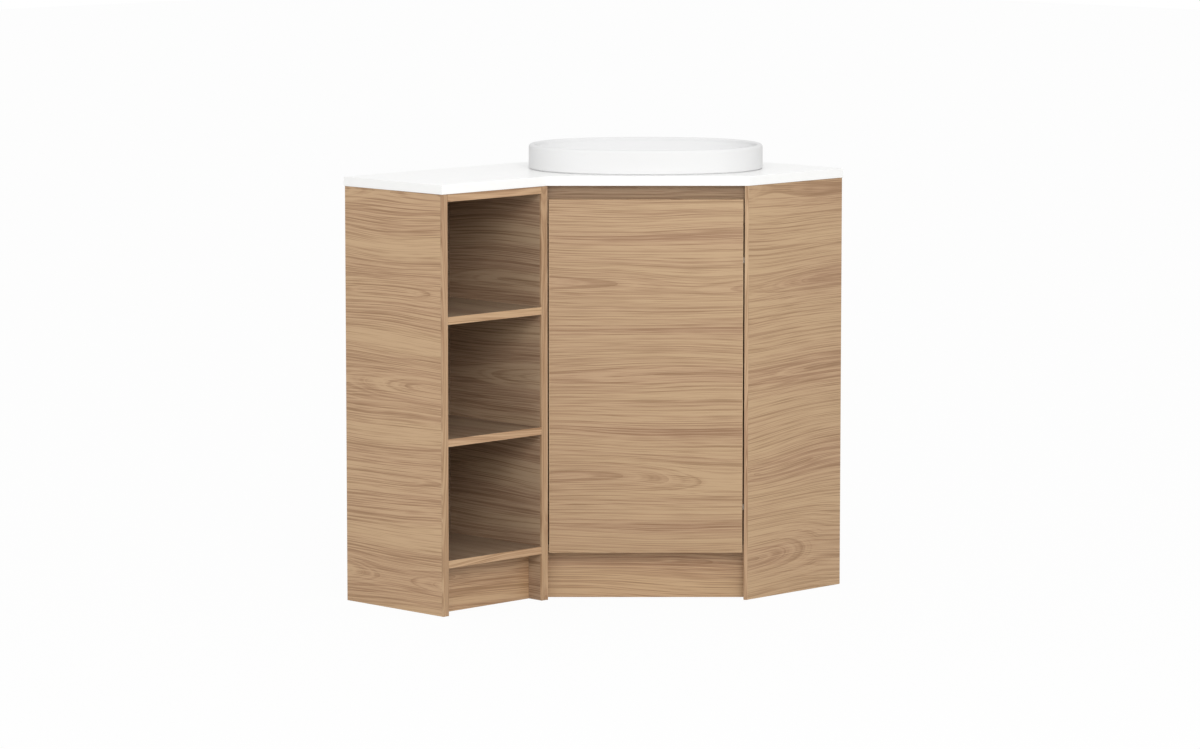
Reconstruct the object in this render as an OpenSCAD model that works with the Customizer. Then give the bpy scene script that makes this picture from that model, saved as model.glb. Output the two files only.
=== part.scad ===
// Corner vanity unit: an open shelf unit and a diagonal-door cabinet under one benchtop,
// with a round basin let into the top. The plan is drawn from the room corner: u runs out
// along the long wall, v along the short wall, z up from the floor.

/* [Benchtop] */
// Length of the benchtop along the long wall
bench_long = 895; // [840:5:1000]
// Length of the benchtop along the short wall
bench_short = 600; // [560:5:660]
// Depth of the benchtop over the shelf unit
bench_end = 300; // [280:5:320]
// Height of the top of the benchtop above the floor
bench_h = 900; // [820:5:950]
// Thickness of the benchtop
bench_t = 20; // [15:1:40]
// How far the benchtop stands past the carcass on its open sides
overhang = 3; // [1:0.5:10]

/* [Carcass boards] */
// Thickness of every carcass board
board = 16; // [15:1:19]
// Outside width of the shelf unit, left face to the start of the door diagonal
shelf_unit_w = 300; // [250:5:360]
// Part of the divider's front edge that lies in the shelf unit's front
divider_face = 14; // [12:0.5:14]
// Height of the kick space under both units
kick_h = 100; // [60:5:150]
// How far the shelf unit's kickboard is set back
shelf_kick_set = 40; // [20:1:60]
// How far the door side's kickboard is set back
door_kick_set = 36; // [20:1:60]
// Height of the rails along the walls
wall_rail_h = 96; // [70:1:120]
// Width of the post in the room corner
corner_post_w = 80; // [60:1:120]
// Width of the pipe opening in the back panel on the short wall
service_w = 150; // [100:5:180]
// Height of the pipe opening in the back panel on the short wall
service_h = 200; // [120:5:300]
// Height of the middle of the pipe opening above the floor
service_z = 540; // [400:5:600]
// Thickness of the solid strip on the front edge of the upright panels
lipping = 5; // [3:0.5:8]
// Thickness of the band on the edges of shelves, door and finger rail
edge_band = 1; // [0.5:0.5:2]

/* [Door] */
// Gap between the divider and the door
gap_left = 2.4; // [1.5:0.1:4]
// Gap between the door and the right end panel
gap_right = 3; // [2.5:0.1:4]
// Width of the right end panel's edge that lies flush with the door
right_land = 7.2; // [5:0.1:10]
// Height of the open finger gap over the door
finger_gap = 29; // [22:1:45]
// How far the door's lower edge stands above the kick space
door_lift = 1; // [0:0.5:4]
// Gap between the back of the door and what it closes on
door_stand_off = 2; // [1.5:0.1:4]
// Height of the rail behind the finger gap
finger_rail_h = 80; // [60:1:120]
// Radius of the door bumpers
bumper_r = 4; // [3:0.5:6]

/* [Door hinges] */
// Height of the lower hinge above the door's lower edge
hinge_low = 95; // [70:5:160]
// Distance of the upper hinge below the door's upper edge
hinge_high = 130; // [90:5:180]
// Radius of the hinge cup
cup_r = 17.5; // [13:0.5:20]
// Depth of the hinge cup in the door
cup_depth = 11.5; // [10:0.1:12.5]
// Distance from the door's edge to the nearest point of the cup
cup_edge = 4.5; // [3:0.1:7]
// Mean radius of the curved link about the hinge line
link_r = 23.5; // [22:0.1:26]
// Thickness of the curved link
link_t = 3; // [2:0.1:4]
// Width of the curved link along the hinge line
link_w = 12; // [8:0.5:16]

/* [Basin] */
// Length of the oval basin, across the corner
basin_long = 500; // [460:5:520]
// Width of the oval basin, from the corner towards the door
basin_wide = 388; // [370:2:400]
// Distance of the basin's centre from the short wall
basin_u = 292; // [285:1:300]
// Distance of the basin's centre from the long wall
basin_v = 295; // [285:1:300]
// Height of the rim above the benchtop
basin_proud = 52; // [40:1:90]
// Depth of the bowl below the rim
bowl_depth = 128; // [110:1:150]
// Wall thickness of the basin
basin_wall = 12; // [9:0.5:16]
// Radius of the round on the rim's outer edge
rim_round = 6; // [4:0.5:7]
// Distance from the basin's outline in to the edge of the cut-out in the benchtop
cutout_in = 20; // [19:0.5:21]
// Thickness of the seal under the basin
basin_seal_t = 2; // [1:0.5:4]

/* [Waste] */
// Outside radius of the threaded waste tail
waste_r = 20.95; // [19:0.05:24]
// Wall thickness of the waste tail
waste_wall = 2.2; // [1.5:0.1:4]
// Length of the waste tail below the basin
waste_tail = 62; // [50:1:90]
// Radius of the waste flange in the bowl
waste_flange_r = 32; // [29:0.5:36]
// Travel of the pop-up plug
plug_travel = 8; // [5:1:12]

/* [Fixings] */
// Radius of the dowels in the board joints
dowel_r = 4; // [3:0.5:5]
// Length of the dowels
dowel_len = 30; // [25:1:40]
// Depth of a dowel's hole in the face of a board
dowel_face = 11; // [8:0.5:12]
// Radius of the wall-fixing holes in the top rails
wall_hole_r = 2.75; // [2:0.25:4]
// Distance of each wall-fixing hole from the end of its rail
wall_hole_in = 60; // [40:5:100]
// Length of the legs of the brackets under the benchtop
bracket_leg = 25; // [20:1:35]
// Width of the brackets under the benchtop
bracket_w = 16; // [12:1:25]

/* [Hidden] */
$fn = 64;

// Rounding off of the joints, and the overlap that lets a cut pass through a face.
dowel_clear = 0.05;
cut = 1;
root2 = sqrt(2);

// Carcass outline, worked out from the benchtop.
carcass_long = bench_long - overhang;
carcass_short = bench_short - overhang;
carcass_end = bench_end - overhang;
carcass_h = bench_h - bench_t;

// The two corners of the door diagonal. It runs at 45 degrees to both walls.
diag_u = carcass_long - shelf_unit_w;
diag_v = carcass_end;
diag_run = carcass_short - carcass_end;
diag_len = diag_run * root2;
diag_end_u = diag_u - diag_run;

// Faces of the upright panels, measured out from the short wall.
left_in = carcass_long - board;
divider_out = diag_u + divider_face;
divider_in = divider_out - board;
left_land = (diag_u - divider_in) * root2;
bay_w = left_in - divider_out;

// Heights of the horizontal boards of the shelf unit, which enclose three equal bays.
bay_count = 3;
shelf_gap = (carcass_h - kick_h - (bay_count + 1) * board) / bay_count;
function shelf_z(i) = kick_h + i * (board + shelf_gap);

// The door, in its own plane: s runs along it from the divider, d goes back into the cabinet.
door_s0 = left_land + gap_left;
door_s1 = diag_len - right_land - gap_right;
door_z0 = kick_h + door_lift;
door_z1 = carcass_h - finger_gap;
door_h = door_z1 - door_z0;
closing_d = board + door_stand_off;

// The hinge line stands in the gap at the front corner of the door.
hinge_s = door_s1 + gap_right / 2;
hinge_d = -0.5;
hinge_heights = [door_z0 + hinge_low, door_z1 - hinge_high];
cup_s = door_s1 - cup_edge - cup_r;
cup_floor = 1.5;
cup_skin = 1;
cup_flange_w = 60;
cup_flange_t = 1.2;
cup_flange_in = 4;
cup_ear_t = 2;
hinge_screw_r = 1.75;
hinge_screw_head_r = 3.4;
hinge_screw_len = 12;
screw_head_h = 1.5;
screw_clear = 0.3;
cup_screw_pitch = 45;

// Angles about the hinge line, from the door's length round towards the cabinet.
link_arc = [19, 98];
ear_arc = [12, 76];
bridge_arc = [64, 76];
shoe_arc = [46, 84];
ear_in = 3;
ear_out = 2;
ear_past = 8;
link_clear = 0.3;
shoe_t = 2.2;

// Mounting plate and arm, measured along the right end panel from its inner front corner.
plate_t = 3;
plate_from = 14;
plate_to = 48;
wing_from = 22;
wing_to = 38;
wing_half = 24;
wing_screw_z = 16;
riser_w = 7.6;
riser_h = 6.8;
arm_w = 11;
arm_from = 3;
arm_to = 46;
arm_cheek = 1.5;
arm_y = 10.2;
arm_t = 2.6;
arm_screw_x = 40;
arm_screw_r = 2;
arm_screw_from = 0.5;
cheek_from = plate_from + 2;
riser_from = plate_from + 4;

// Basin: an oval of four arcs that run into each other, two at its ends and two along its sides.
// They meet on lines that rise 12 in 5, which gives their centres and radii.
oval_a = basin_long / 2;
oval_b = basin_wide / 2;
end_x = 1.25 * (oval_a - oval_b);
side_y = 3 * (oval_a - oval_b);
end_r = oval_a - end_x;
side_r = oval_b + side_y;
meet_x = 4 * end_x;
meet_y = 4 * side_y;
oval_lap = 0.005; // the arcs' sectors run into each other by this much, so that they join
rim_z = bench_h + basin_proud;
seat_z = bench_h + basin_seal_t;
bowl_lip = 8;
bowl_floor_z = rim_z - bowl_depth;
cove_in = end_r - 4;
cove_w = cove_in - basin_wall;
cove_h = bowl_depth - bowl_lip;
cove_r = (pow(cove_w, 2) + pow(cove_h, 2)) / (2 * cove_h);
cove_z = bowl_floor_z + cove_r;
under_wall = 8;
under_gap = 4;
under_in = cutout_in + under_gap;
seal_w = 12;
seal_in = 3;
boss_r = 36;
boss_drop = 22;
boss_z = bowl_floor_z - boss_drop;
waste_hole_r = waste_r + 1.5;
basin_fn = 180;

// Waste parts, from the flange in the bowl down.
recess_r = waste_flange_r + 1.5;
recess_drop = 4;
recess_z = bowl_floor_z - recess_drop;
flange_seal_t = 1.5;
flange_z = recess_z + flange_seal_t;
flange_t = 2.5;
flange_top = flange_z + flange_t;
washer_t = 4;
washer_z = boss_z - washer_t;
nut_h = 9;
nut_r = 31;
nut_z = washer_z - nut_h;
tail_z = boss_z - waste_tail;
groove_w = 1.5;
groove_t = 0.6;
waste_bore_r = waste_r - waste_wall;
plug_r = waste_flange_r - 4;
plug_gap = 1.2;
plug_t = 3.5;
plug_dome_r = 120;
plug_stem_r = 4;
plug_guide = 16;
plug_stem_len = plug_guide + plug_travel;
plug_z = flange_top + plug_gap;
stem_clear = 0.06;
cartridge_r = 7;
cartridge_foot = 6;
cartridge_drop = 4;
cartridge_h = plug_stem_len + cartridge_foot;
cartridge_z = flange_top - cartridge_h - cartridge_drop;
cartridge_floor = 4;
cartridge_bar_w = 3;
cartridge_bar_h = 5;
cartridge_bar_in = 0.1;

// Colours as they are seen.
oak = "#b7967a";
oak_edge = "#c1a486";
oak_inside = "#8f7658";
white_top = "#f6f6f5";
glaze = "#f2f3f2";
steel = "#c9cbcc";
bright = "#dfe1e3";
rubber_black = "#2a2a2a";
clear_rubber = "#d8d8d2";
beech = "#d9bd90";

// Turns the plan so that the long wall lies behind and the short wall to the right,
// with the origin on the floor under the middle of the benchtop.
module in_room() {
    translate([bench_long / 2, bench_short / 2, 0]) rotate([0, 0, 180]) children();
}

// Places children drawn along the door: x along it, y into the cabinet, z up.
module on_diagonal() {
    translate([diag_u, diag_v, 0]) rotate([0, 0, 135]) children();
}

// A board from its low corner and its sides, in the room's plan.
module board_box(u0, v0, z0, du, dv, dz) {
    translate([u0, v0, z0]) cube([du, dv, dz]);
}

// A board along the door from s0 to s1, starting d0 behind the door's face.
module diagonal_box(s0, s1, d0, t, z0, h) {
    on_diagonal() translate([s0, d0, z0]) cube([s1 - s0, t, h]);
}

// Outline of the floor of the cabinet, set back from the door's face by d.
module cabinet_outline(d) {
    back = d * root2;
    polygon([
        [0, 0], [divider_in, 0],
        [divider_in, diag_u + diag_v - back - divider_in],
        [diag_u + diag_v - back - (carcass_short - board), carcass_short - board],
        [0, carcass_short - board]
    ]);
}

// Plan of a board along the door, set back by d and cut off at both upright panels.
module diagonal_strip(d) {
    difference() {
        cabinet_outline(d);
        cabinet_outline(d + board);
    }
}

// Dowels of the horizontal boards: two in each end, at the same depths.
dowel_inset = 45;
dowel_depths = [board + dowel_inset, carcass_end - edge_band - dowel_inset];
function bay_board_zs() = [for (i = [0 : bay_count]) shelf_z(i) + board / 2];

module dowel(clear) {
    cylinder(r = dowel_r + clear, h = dowel_len + 2 * clear, center = true);
}

// Dowels between the horizontal boards and the left end panel, then those into the divider.
module bay_dowels(clear) {
    for (z = bay_board_zs()) {
        for (v = dowel_depths) {
            translate([left_in + dowel_face - dowel_len / 2, v, z]) rotate([0, 90, 0]) dowel(clear);
            translate([divider_out - dowel_face + dowel_len / 2, v, z]) rotate([0, 90, 0]) dowel(clear);
        }
    }
}

// Dowels between the cabinet's floor and the right end panel, set off from the divider's,
// then those into the divider from inside the cabinet.
base_dowel_in = 65;
base_dowel_us = [base_dowel_in, diag_end_u - base_dowel_in];
base_dowel_vs = [dowel_depths[0] + base_dowel_in, dowel_depths[1] - base_dowel_in];
module base_dowels(clear) {
    for (u = base_dowel_us) {
        translate([u, carcass_short - board + dowel_face - dowel_len / 2, kick_h + board / 2])
            rotate([90, 0, 0]) dowel(clear);
    }
    for (v = base_dowel_vs) {
        translate([divider_in + dowel_face - dowel_len / 2, v, kick_h + board / 2])
            rotate([0, 90, 0]) dowel(clear);
    }
}

// ---------------------------------------------------------------- upright panels

module left_end_panel() {
    color(oak) in_room() difference() {
        board_box(left_in, 0, 0, board, carcass_end - lipping, carcass_h);
        bay_dowels(dowel_clear);
    }
}

module left_panel_lipping() {
    color(oak_edge) in_room() board_box(left_in, carcass_end - lipping, 0, board, lipping, carcass_h);
}

module divider_panel() {
    color(oak) in_room() difference() {
        board_box(divider_in, 0, 0, board, carcass_end - lipping, carcass_h);
        bay_dowels(dowel_clear);
        base_dowels(dowel_clear);
        bracket_screw_holes();
    }
}

// The divider's strip is cut to both fronts: square to the shelves, then flush with the door.
module divider_lipping() {
    color(oak_edge) in_room() linear_extrude(carcass_h) polygon([
        [divider_in, carcass_end - lipping], [divider_out, carcass_end - lipping],
        [divider_out, carcass_end], [diag_u, carcass_end],
        [divider_in, carcass_end + diag_u - divider_in]
    ]);
}

// Plan of the right end panel, cut flush with the door and then square to it.
module right_panel_plan() {
    land = right_land / root2;
    inner = carcass_short - board;
    polygon([
        [0, inner], [0, carcass_short], [diag_end_u, carcass_short],
        [diag_end_u + land, carcass_short - land],
        [diag_end_u + 2 * land - board, inner]
    ]);
}

module right_end_panel() {
    color(oak) in_room() difference() {
        linear_extrude(carcass_h) right_panel_plan();
        diagonal_box(diag_len - right_land - cut, diag_len + cut, -cut, edge_band + cut, -cut, carcass_h + 2 * cut);
        base_dowels(dowel_clear);
        bracket_screw_holes();
        at_plates() plate_screw_places()
            cylinder(r = hinge_screw_r + dowel_clear, h = hinge_screw_len + dowel_clear);
    }
}

module right_panel_edge_band() {
    color(oak_edge) in_room() intersection() {
        linear_extrude(carcass_h) right_panel_plan();
        diagonal_box(diag_len - right_land - cut, diag_len + cut, -cut, edge_band + cut, 0, carcass_h);
    }
}

// ---------------------------------------------------------------- shelf unit

module bay_board(i) {
    color(oak) in_room() difference() {
        board_box(divider_out, board, shelf_z(i), bay_w, carcass_end - board - edge_band, board);
        bay_dowels(dowel_clear);
    }
}

module shelf_unit_base() { bay_board(0); }
module lower_shelf() { bay_board(1); }
module upper_shelf() { bay_board(2); }
module shelf_unit_top() { bay_board(bay_count); }

module shelf_edge_bands() {
    color(oak_edge) in_room() for (i = [0 : bay_count]) {
        board_box(divider_out, carcass_end - edge_band, shelf_z(i), bay_w, edge_band, board);
    }
}

module shelf_unit_back() {
    color(oak_inside) in_room() board_box(divider_out, 0, 0, bay_w, board, carcass_h);
}

module shelf_unit_kickboard() {
    color(oak) in_room()
        board_box(divider_out, carcass_end - shelf_kick_set - board, 0, bay_w, board, kick_h);
}

// ---------------------------------------------------------------- door cabinet

module cabinet_base() {
    color(oak_inside) in_room() difference() {
        translate([0, 0, kick_h]) linear_extrude(board) difference() {
            cabinet_outline(closing_d);
            translate([-cut, -cut]) square([corner_post_w + cut, board + cut]);
            translate([-cut, -cut]) square([board + cut, corner_post_w + cut]);
        }
        base_dowels(dowel_clear);
    }
}

// The kickboard is cut off along both upright panels that it meets.
module door_side_kickboard() {
    color(oak) in_room() linear_extrude(kick_h) diagonal_strip(door_kick_set);
}

// The rail behind the finger gap runs between the same panels.
module finger_pull_rail() {
    color(oak) in_room() translate([0, 0, carcass_h - finger_rail_h]) linear_extrude(finger_rail_h)
        diagonal_strip(closing_d);
}

// Boards along the long wall run from the divider to the corner post.
module long_wall_board(z0, h) {
    board_box(corner_post_w, 0, z0, divider_in - corner_post_w, board, h);
}

// Boards along the short wall run from the right end panel to the corner post.
module short_wall_board(z0, h) {
    board_box(0, corner_post_w, z0, board, carcass_short - board - corner_post_w, h);
}

top_rail_z = carcass_h - wall_rail_h;
back_z = kick_h + board;
back_h = top_rail_z - back_z;
wall_hole_z = carcass_h - wall_rail_h / 2;
long_hole_us = [corner_post_w + wall_hole_in, divider_in - wall_hole_in];
short_hole_vs = [corner_post_w + wall_hole_in, carcass_short - board - wall_hole_in];

module long_wall_top_rail() {
    color(oak_inside) in_room() difference() {
        long_wall_board(top_rail_z, wall_rail_h);
        for (u = long_hole_us)
            translate([u, board / 2, wall_hole_z]) rotate([90, 0, 0])
                cylinder(r = wall_hole_r, h = board + 2 * cut, center = true);
        bracket_screw_holes();
    }
}

module long_wall_back_panel() { color(oak_inside) in_room() long_wall_board(back_z, back_h); }

module short_wall_top_rail() {
    color(oak_inside) in_room() difference() {
        short_wall_board(top_rail_z, wall_rail_h);
        for (v = short_hole_vs)
            translate([board / 2, v, wall_hole_z]) rotate([0, 90, 0])
                cylinder(r = wall_hole_r, h = board + 2 * cut, center = true);
        bracket_screw_holes();
    }
}

// The pipes come through an opening between the middle of this panel and its front end.
service_in = 65;
module short_wall_back_panel() {
    color(oak_inside) in_room() difference() {
        short_wall_board(back_z, back_h);
        translate([-cut, carcass_short - board - service_in - service_w, service_z - service_h / 2])
            cube([board + 2 * cut, service_w, service_h]);
    }
}

// Two boards stand in the room corner as an angle and carry the cabinet there.
module corner_post() {
    color(oak_inside) in_room() {
        board_box(0, 0, 0, corner_post_w, board, carcass_h);
        board_box(0, board, 0, board, corner_post_w - board, carcass_h);
    }
}

module carcass_dowels() {
    color(beech) in_room() {
        bay_dowels(0);
        base_dowels(0);
    }
}

// ---------------------------------------------------------------- benchtop and its brackets

// Each entry places one bracket: where its corner stands, and how far it is turned.
bracket_t = 2;
bracket_drop = 22;
bracket_in = 50;
bracket_hole_in = 8;
bracket_spots = [
    [divider_in - bracket_in, board, 0], [corner_post_w + bracket_in, board, 0],
    [board, carcass_short - board - bracket_in, -90], [divider_in, board + bracket_in, 90],
    [diag_end_u - bracket_in, carcass_short - board, 180]
];
bracket_screw_r = 2;
bracket_head_r = 3.8;
bracket_head_h = 2;
bracket_screw_len = 12;

// A bracket's corner is at the origin: one leg hangs on the board, the other lies on the top.
module at_brackets() {
    for (spot = bracket_spots)
        translate([spot[0], spot[1], carcass_h]) rotate([0, 0, spot[2]]) children();
}

module benchtop_brackets() {
    color(steel) in_room() at_brackets() difference() {
        union() {
            translate([-bracket_w / 2, 0, -bracket_drop]) cube([bracket_w, bracket_t, bracket_drop]);
            translate([-bracket_w / 2, 0, -bracket_t]) cube([bracket_w, bracket_leg, bracket_t]);
        }
        bracket_screw_places() cylinder(r = bracket_screw_r + screw_clear, h = 4 * bracket_t, center = true);
    }
}

// Turns +Z the way each of a bracket's two screws is driven, from its seat.
module bracket_screw_places() {
    translate([0, bracket_leg - bracket_hole_in, -bracket_t]) children();
    translate([0, bracket_t, -bracket_drop + bracket_hole_in]) rotate([90, 0, 0]) children();
}

module bracket_screw_holes() {
    at_brackets() bracket_screw_places()
        cylinder(r = bracket_screw_r + dowel_clear, h = bracket_screw_len + dowel_clear);
}

module bracket_screws() {
    color(bright) in_room() at_brackets() bracket_screw_places() {
        translate([0, 0, -bracket_head_h]) cylinder(r = bracket_head_r, h = bracket_head_h);
        cylinder(r = bracket_screw_r, h = bracket_screw_len);
    }
}

module bench_outline() {
    lip = overhang * (root2 - 1);
    polygon([
        [0, 0], [bench_long, 0], [bench_long, bench_end], [diag_u + lip, bench_end],
        [diag_end_u + lip, bench_short], [0, bench_short]
    ]);
}

module benchtop() {
    color(white_top) in_room() difference() {
        translate([0, 0, carcass_h]) linear_extrude(bench_t) bench_outline();
        at_basin() round_oval() translate([-side_r, carcass_h - cut])
            square([side_r - cutout_in, bench_t + 2 * cut]);
        bracket_screw_holes();
    }
}

// ---------------------------------------------------------------- basin and waste

module at_basin() { translate([basin_u, basin_v, 0]) children(); }

// Runs a profile round the oval, which lies across the corner. The profile's x is 0 on the oval's
// outline and negative inside it.
module round_oval() {
    rotate([0, 0, -45]) for (turn = [0, 180]) rotate([0, 0, turn]) {
        translate([end_x, 0, 0]) intersection() {
            rotate_extrude($fn = basin_fn) intersection() {
                translate([end_r, 0]) children();
                square([end_r, rim_z]);
            }
            translate([-oval_lap, 0, 0])
                linear_extrude(rim_z) polygon([[0, 0], [meet_x, -meet_y], [meet_x, meet_y]]);
        }
        translate([0, -side_y, 0]) intersection() {
            rotate_extrude($fn = basin_fn) intersection() {
                translate([side_r, 0]) children();
                square([side_r, rim_z]);
            }
            translate([0, -oval_lap, 0]) linear_extrude(rim_z)
                polygon([[-end_x, side_y], [end_x, side_y], [meet_x, meet_y], [-meet_x, meet_y]]);
        }
    }
}

// Section of the basin: an upright wall outside, a round cove down to a level floor inside.
module basin_profile() {
    difference() {
        union() {
            translate([-side_r, seat_z]) square([side_r, rim_z - rim_round - seat_z]);
            translate([-side_r, seat_z]) square([side_r - rim_round, rim_z - seat_z]);
            translate([-rim_round, rim_z - rim_round]) circle(r = rim_round, $fn = basin_fn);
            intersection() {
                translate([-cove_in, cove_z]) circle(r = cove_r + under_wall, $fn = basin_fn);
                translate([-cove_in, bowl_floor_z - under_wall])
                    square([cove_in - under_in, seat_z - bowl_floor_z + under_wall]);
            }
            translate([-side_r, bowl_floor_z - under_wall])
                square([side_r - cove_in, seat_z - bowl_floor_z + under_wall]);
        }
        intersection() {
            translate([-cove_in, cove_z]) circle(r = cove_r, $fn = basin_fn);
            translate([-cove_in, bowl_floor_z]) square([cove_w, cove_h]);
        }
        translate([-cove_in, rim_z - bowl_lip]) square([cove_w, bowl_lip + cut]);
        translate([-side_r - cut, bowl_floor_z])
            square([side_r - cove_in + cut, bowl_depth + cut]);
    }
}

module basin() {
    color(glaze) in_room() at_basin() difference() {
        union() {
            round_oval() basin_profile();
            translate([0, 0, boss_z]) cylinder(r = boss_r, h = bowl_floor_z - boss_z, $fn = basin_fn);
        }
        translate([0, 0, recess_z]) cylinder(r = recess_r, h = recess_drop + bowl_lip, $fn = basin_fn);
        translate([0, 0, boss_z - cut])
            cylinder(r = waste_hole_r, h = recess_z - boss_z + 2 * cut, $fn = basin_fn);
    }
}

module basin_seal() {
    color(clear_rubber) in_room() at_basin() round_oval()
        translate([-seal_in - seal_w, bench_h]) square([seal_w, basin_seal_t]);
}

// A narrow groove under the nut ends the length of tail that the trap's nut screws on to.
module waste_body() {
    color(bright) in_room() at_basin() difference() {
        union() {
            translate([0, 0, flange_z]) cylinder(r = waste_flange_r, h = flange_t);
            translate([0, 0, tail_z]) cylinder(r = waste_r, h = flange_z - tail_z + cut);
        }
        translate([0, 0, tail_z - cut]) cylinder(r = waste_bore_r, h = flange_top - tail_z + 2 * cut);
        translate([0, 0, nut_z - groove_w]) difference() {
            cylinder(r = waste_r + cut, h = groove_w);
            translate([0, 0, -cut]) cylinder(r = waste_r - groove_t, h = groove_w + 2 * cut);
        }
    }
}

module waste_flange_seal() {
    color(rubber_black) in_room() at_basin() translate([0, 0, recess_z]) difference() {
        cylinder(r = waste_flange_r - 1, h = flange_seal_t);
        translate([0, 0, -cut]) cylinder(r = waste_hole_r, h = flange_seal_t + 2 * cut);
    }
}

module waste_washer() {
    color(rubber_black) in_room() at_basin() translate([0, 0, washer_z]) difference() {
        cylinder(r = nut_r, h = washer_t);
        translate([0, 0, -cut]) cylinder(r = waste_r + dowel_clear, h = washer_t + 2 * cut);
    }
}

module waste_backnut() {
    color(bright) in_room() at_basin() translate([0, 0, nut_z]) difference() {
        cylinder(r = nut_r, h = nut_h, $fn = 6);
        translate([0, 0, -cut]) cylinder(r = waste_r + dowel_clear, h = nut_h + 2 * cut);
    }
}

// A cross in the waste's bore carries the tube that the plug's stem slides in.
module plug_cartridge() {
    color(steel) in_room() at_basin() difference() {
        union() {
            translate([0, 0, cartridge_z]) cylinder(r = cartridge_r, h = cartridge_h);
            for (turn = [0, 90]) rotate([0, 0, turn])
                translate([cartridge_bar_in - waste_bore_r, -cartridge_bar_w / 2, cartridge_z])
                    cube([2 * (waste_bore_r - cartridge_bar_in), cartridge_bar_w, cartridge_bar_h]);
        }
        translate([0, 0, cartridge_z + cartridge_floor])
            cylinder(r = plug_stem_r + stem_clear, h = cartridge_h);
    }
}

module pop_up_plug() {
    color(bright) in_room() at_basin() {
        translate([0, 0, plug_z]) rotate_extrude() intersection() {
            translate([0, plug_t - plug_dome_r]) circle(r = plug_dome_r, $fn = 360);
            square([plug_r, plug_t]);
        }
        translate([0, 0, plug_z - plug_stem_len]) cylinder(r = plug_stem_r, h = plug_stem_len + plug_t / 2);
    }
}

// ---------------------------------------------------------------- door

module door_solid(shrink) {
    diagonal_box(door_s0 + shrink, door_s1 - shrink, 0, board, door_z0 + shrink, door_h - 2 * shrink);
}

module door() {
    color(oak) in_room() difference() {
        door_solid(edge_band);
        at_hinges() translate([cup_s, board, 0]) rotate([90, 0, 0])
            translate([0, 0, -cut]) cylinder(r = cup_r + dowel_clear, h = cup_depth + cut);
        at_hinges() cup_screw_places() translate([0, 0, -cut])
            cylinder(r = hinge_screw_r + dowel_clear, h = hinge_screw_len + cut);
    }
}

module door_edge_bands() {
    color(oak_edge) in_room() difference() {
        door_solid(0);
        diagonal_box(door_s0 + edge_band, door_s1 - edge_band, -cut, board + 2 * cut,
            door_z0 + edge_band, door_h - 2 * edge_band);
    }
}

// One bumper meets the front edge of the cabinet's floor, the other the finger rail.
bumper_in = 30;
bumper_zs = [kick_h + board / 2, door_z1 - board];
bumper_t = door_stand_off - 0.2;
module door_bumpers() {
    color(clear_rubber) in_room() on_diagonal() for (z = bumper_zs)
        translate([door_s0 + bumper_in, board + bumper_t, z]) rotate([90, 0, 0])
            cylinder(r = bumper_r, h = bumper_t);
}

// ---------------------------------------------------------------- hinges

// Places children at each hinge, along the door: x along it, y into the cabinet.
module at_hinges() {
    on_diagonal() for (z = hinge_heights) translate([0, 0, z]) children();
}

// Part of a ring about the hinge line, between two angles that open towards the cabinet.
module hinge_ring(r_in, r_out, arc, w) {
    translate([hinge_s, hinge_d, -w / 2]) rotate([0, 0, 180 - arc[1]])
        rotate_extrude(angle = arc[1] - arc[0]) translate([r_in, 0]) square([r_out - r_in, w]);
}

// Turns +Z into the door at each of a cup's two screws.
module cup_screw_places() {
    for (side = [-1, 1])
        translate([cup_s, board, side * cup_screw_pitch / 2]) rotate([90, 0, 0]) children();
}

link_in = link_r - link_t / 2;
link_out = link_r + link_t / 2;
ear_half = link_w / 2 + link_clear;

// The cup, its flange on the door's back, and the two ears that the link slides between.
module hinge_cups() {
    color(steel) in_room() at_hinges() {
        difference() {
            union() {
                translate([cup_s, board, 0]) rotate([90, 0, 0]) cylinder(r = cup_r, h = cup_depth);
                translate([cup_s - cup_r + cup_flange_in, board, -cup_flange_w / 2])
                    cube([2 * (cup_r - cup_flange_in), cup_flange_t, cup_flange_w]);
            }
            translate([cup_s, board + cup_flange_t + cut, 0]) rotate([90, 0, 0])
                cylinder(r = cup_r - cup_skin, h = cup_depth + cup_flange_t + cut - cup_floor);
            cup_screw_places()
                cylinder(r = hinge_screw_r + screw_clear, h = 4 * cup_flange_t, center = true);
        }
        for (side = [-1, 1]) translate([0, 0, side * (ear_half + cup_ear_t / 2)])
            intersection() {
                hinge_ring(link_in - ear_in, link_out + ear_out, ear_arc, cup_ear_t);
                translate([cup_s - cup_r + cup_skin / 2, board - cup_depth + cup_floor / 2, -cup_ear_t])
                    cube([2 * cup_r + ear_past, 2 * cup_r + ear_past, 2 * cup_ear_t]);
            }
        hinge_ring(link_in - ear_in, link_in - link_clear, bridge_arc, 2 * ear_half + cup_ear_t);
    }
}

module hinge_cup_screws() {
    color(bright) in_room() at_hinges() cup_screw_places() {
        translate([0, 0, -cup_flange_t - screw_head_h]) cylinder(r = hinge_screw_head_r, h = screw_head_h);
        translate([0, 0, -cup_flange_t]) cylinder(r = hinge_screw_r, h = hinge_screw_len);
    }
}

module hinge_links() {
    color(bright) in_room() at_hinges() hinge_ring(link_in, link_out, link_arc, link_w);
}

// Places children on the right end panel's inner face at each hinge: x along the panel from
// its inner front corner, y off the face into the cabinet.
panel_tip_u = diag_end_u + right_land * root2 - board;
module at_plates() {
    for (z = hinge_heights)
        translate([panel_tip_u, carcass_short - board, z]) rotate([0, 0, 180]) children();
}

// Turns +Z into the panel at each of a plate's two screws, from the plate's top.
module plate_screw_places() {
    for (side = [-1, 1])
        translate([(wing_from + wing_to) / 2, plate_t, side * wing_screw_z])
            rotate([90, 0, 0]) children();
}

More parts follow.
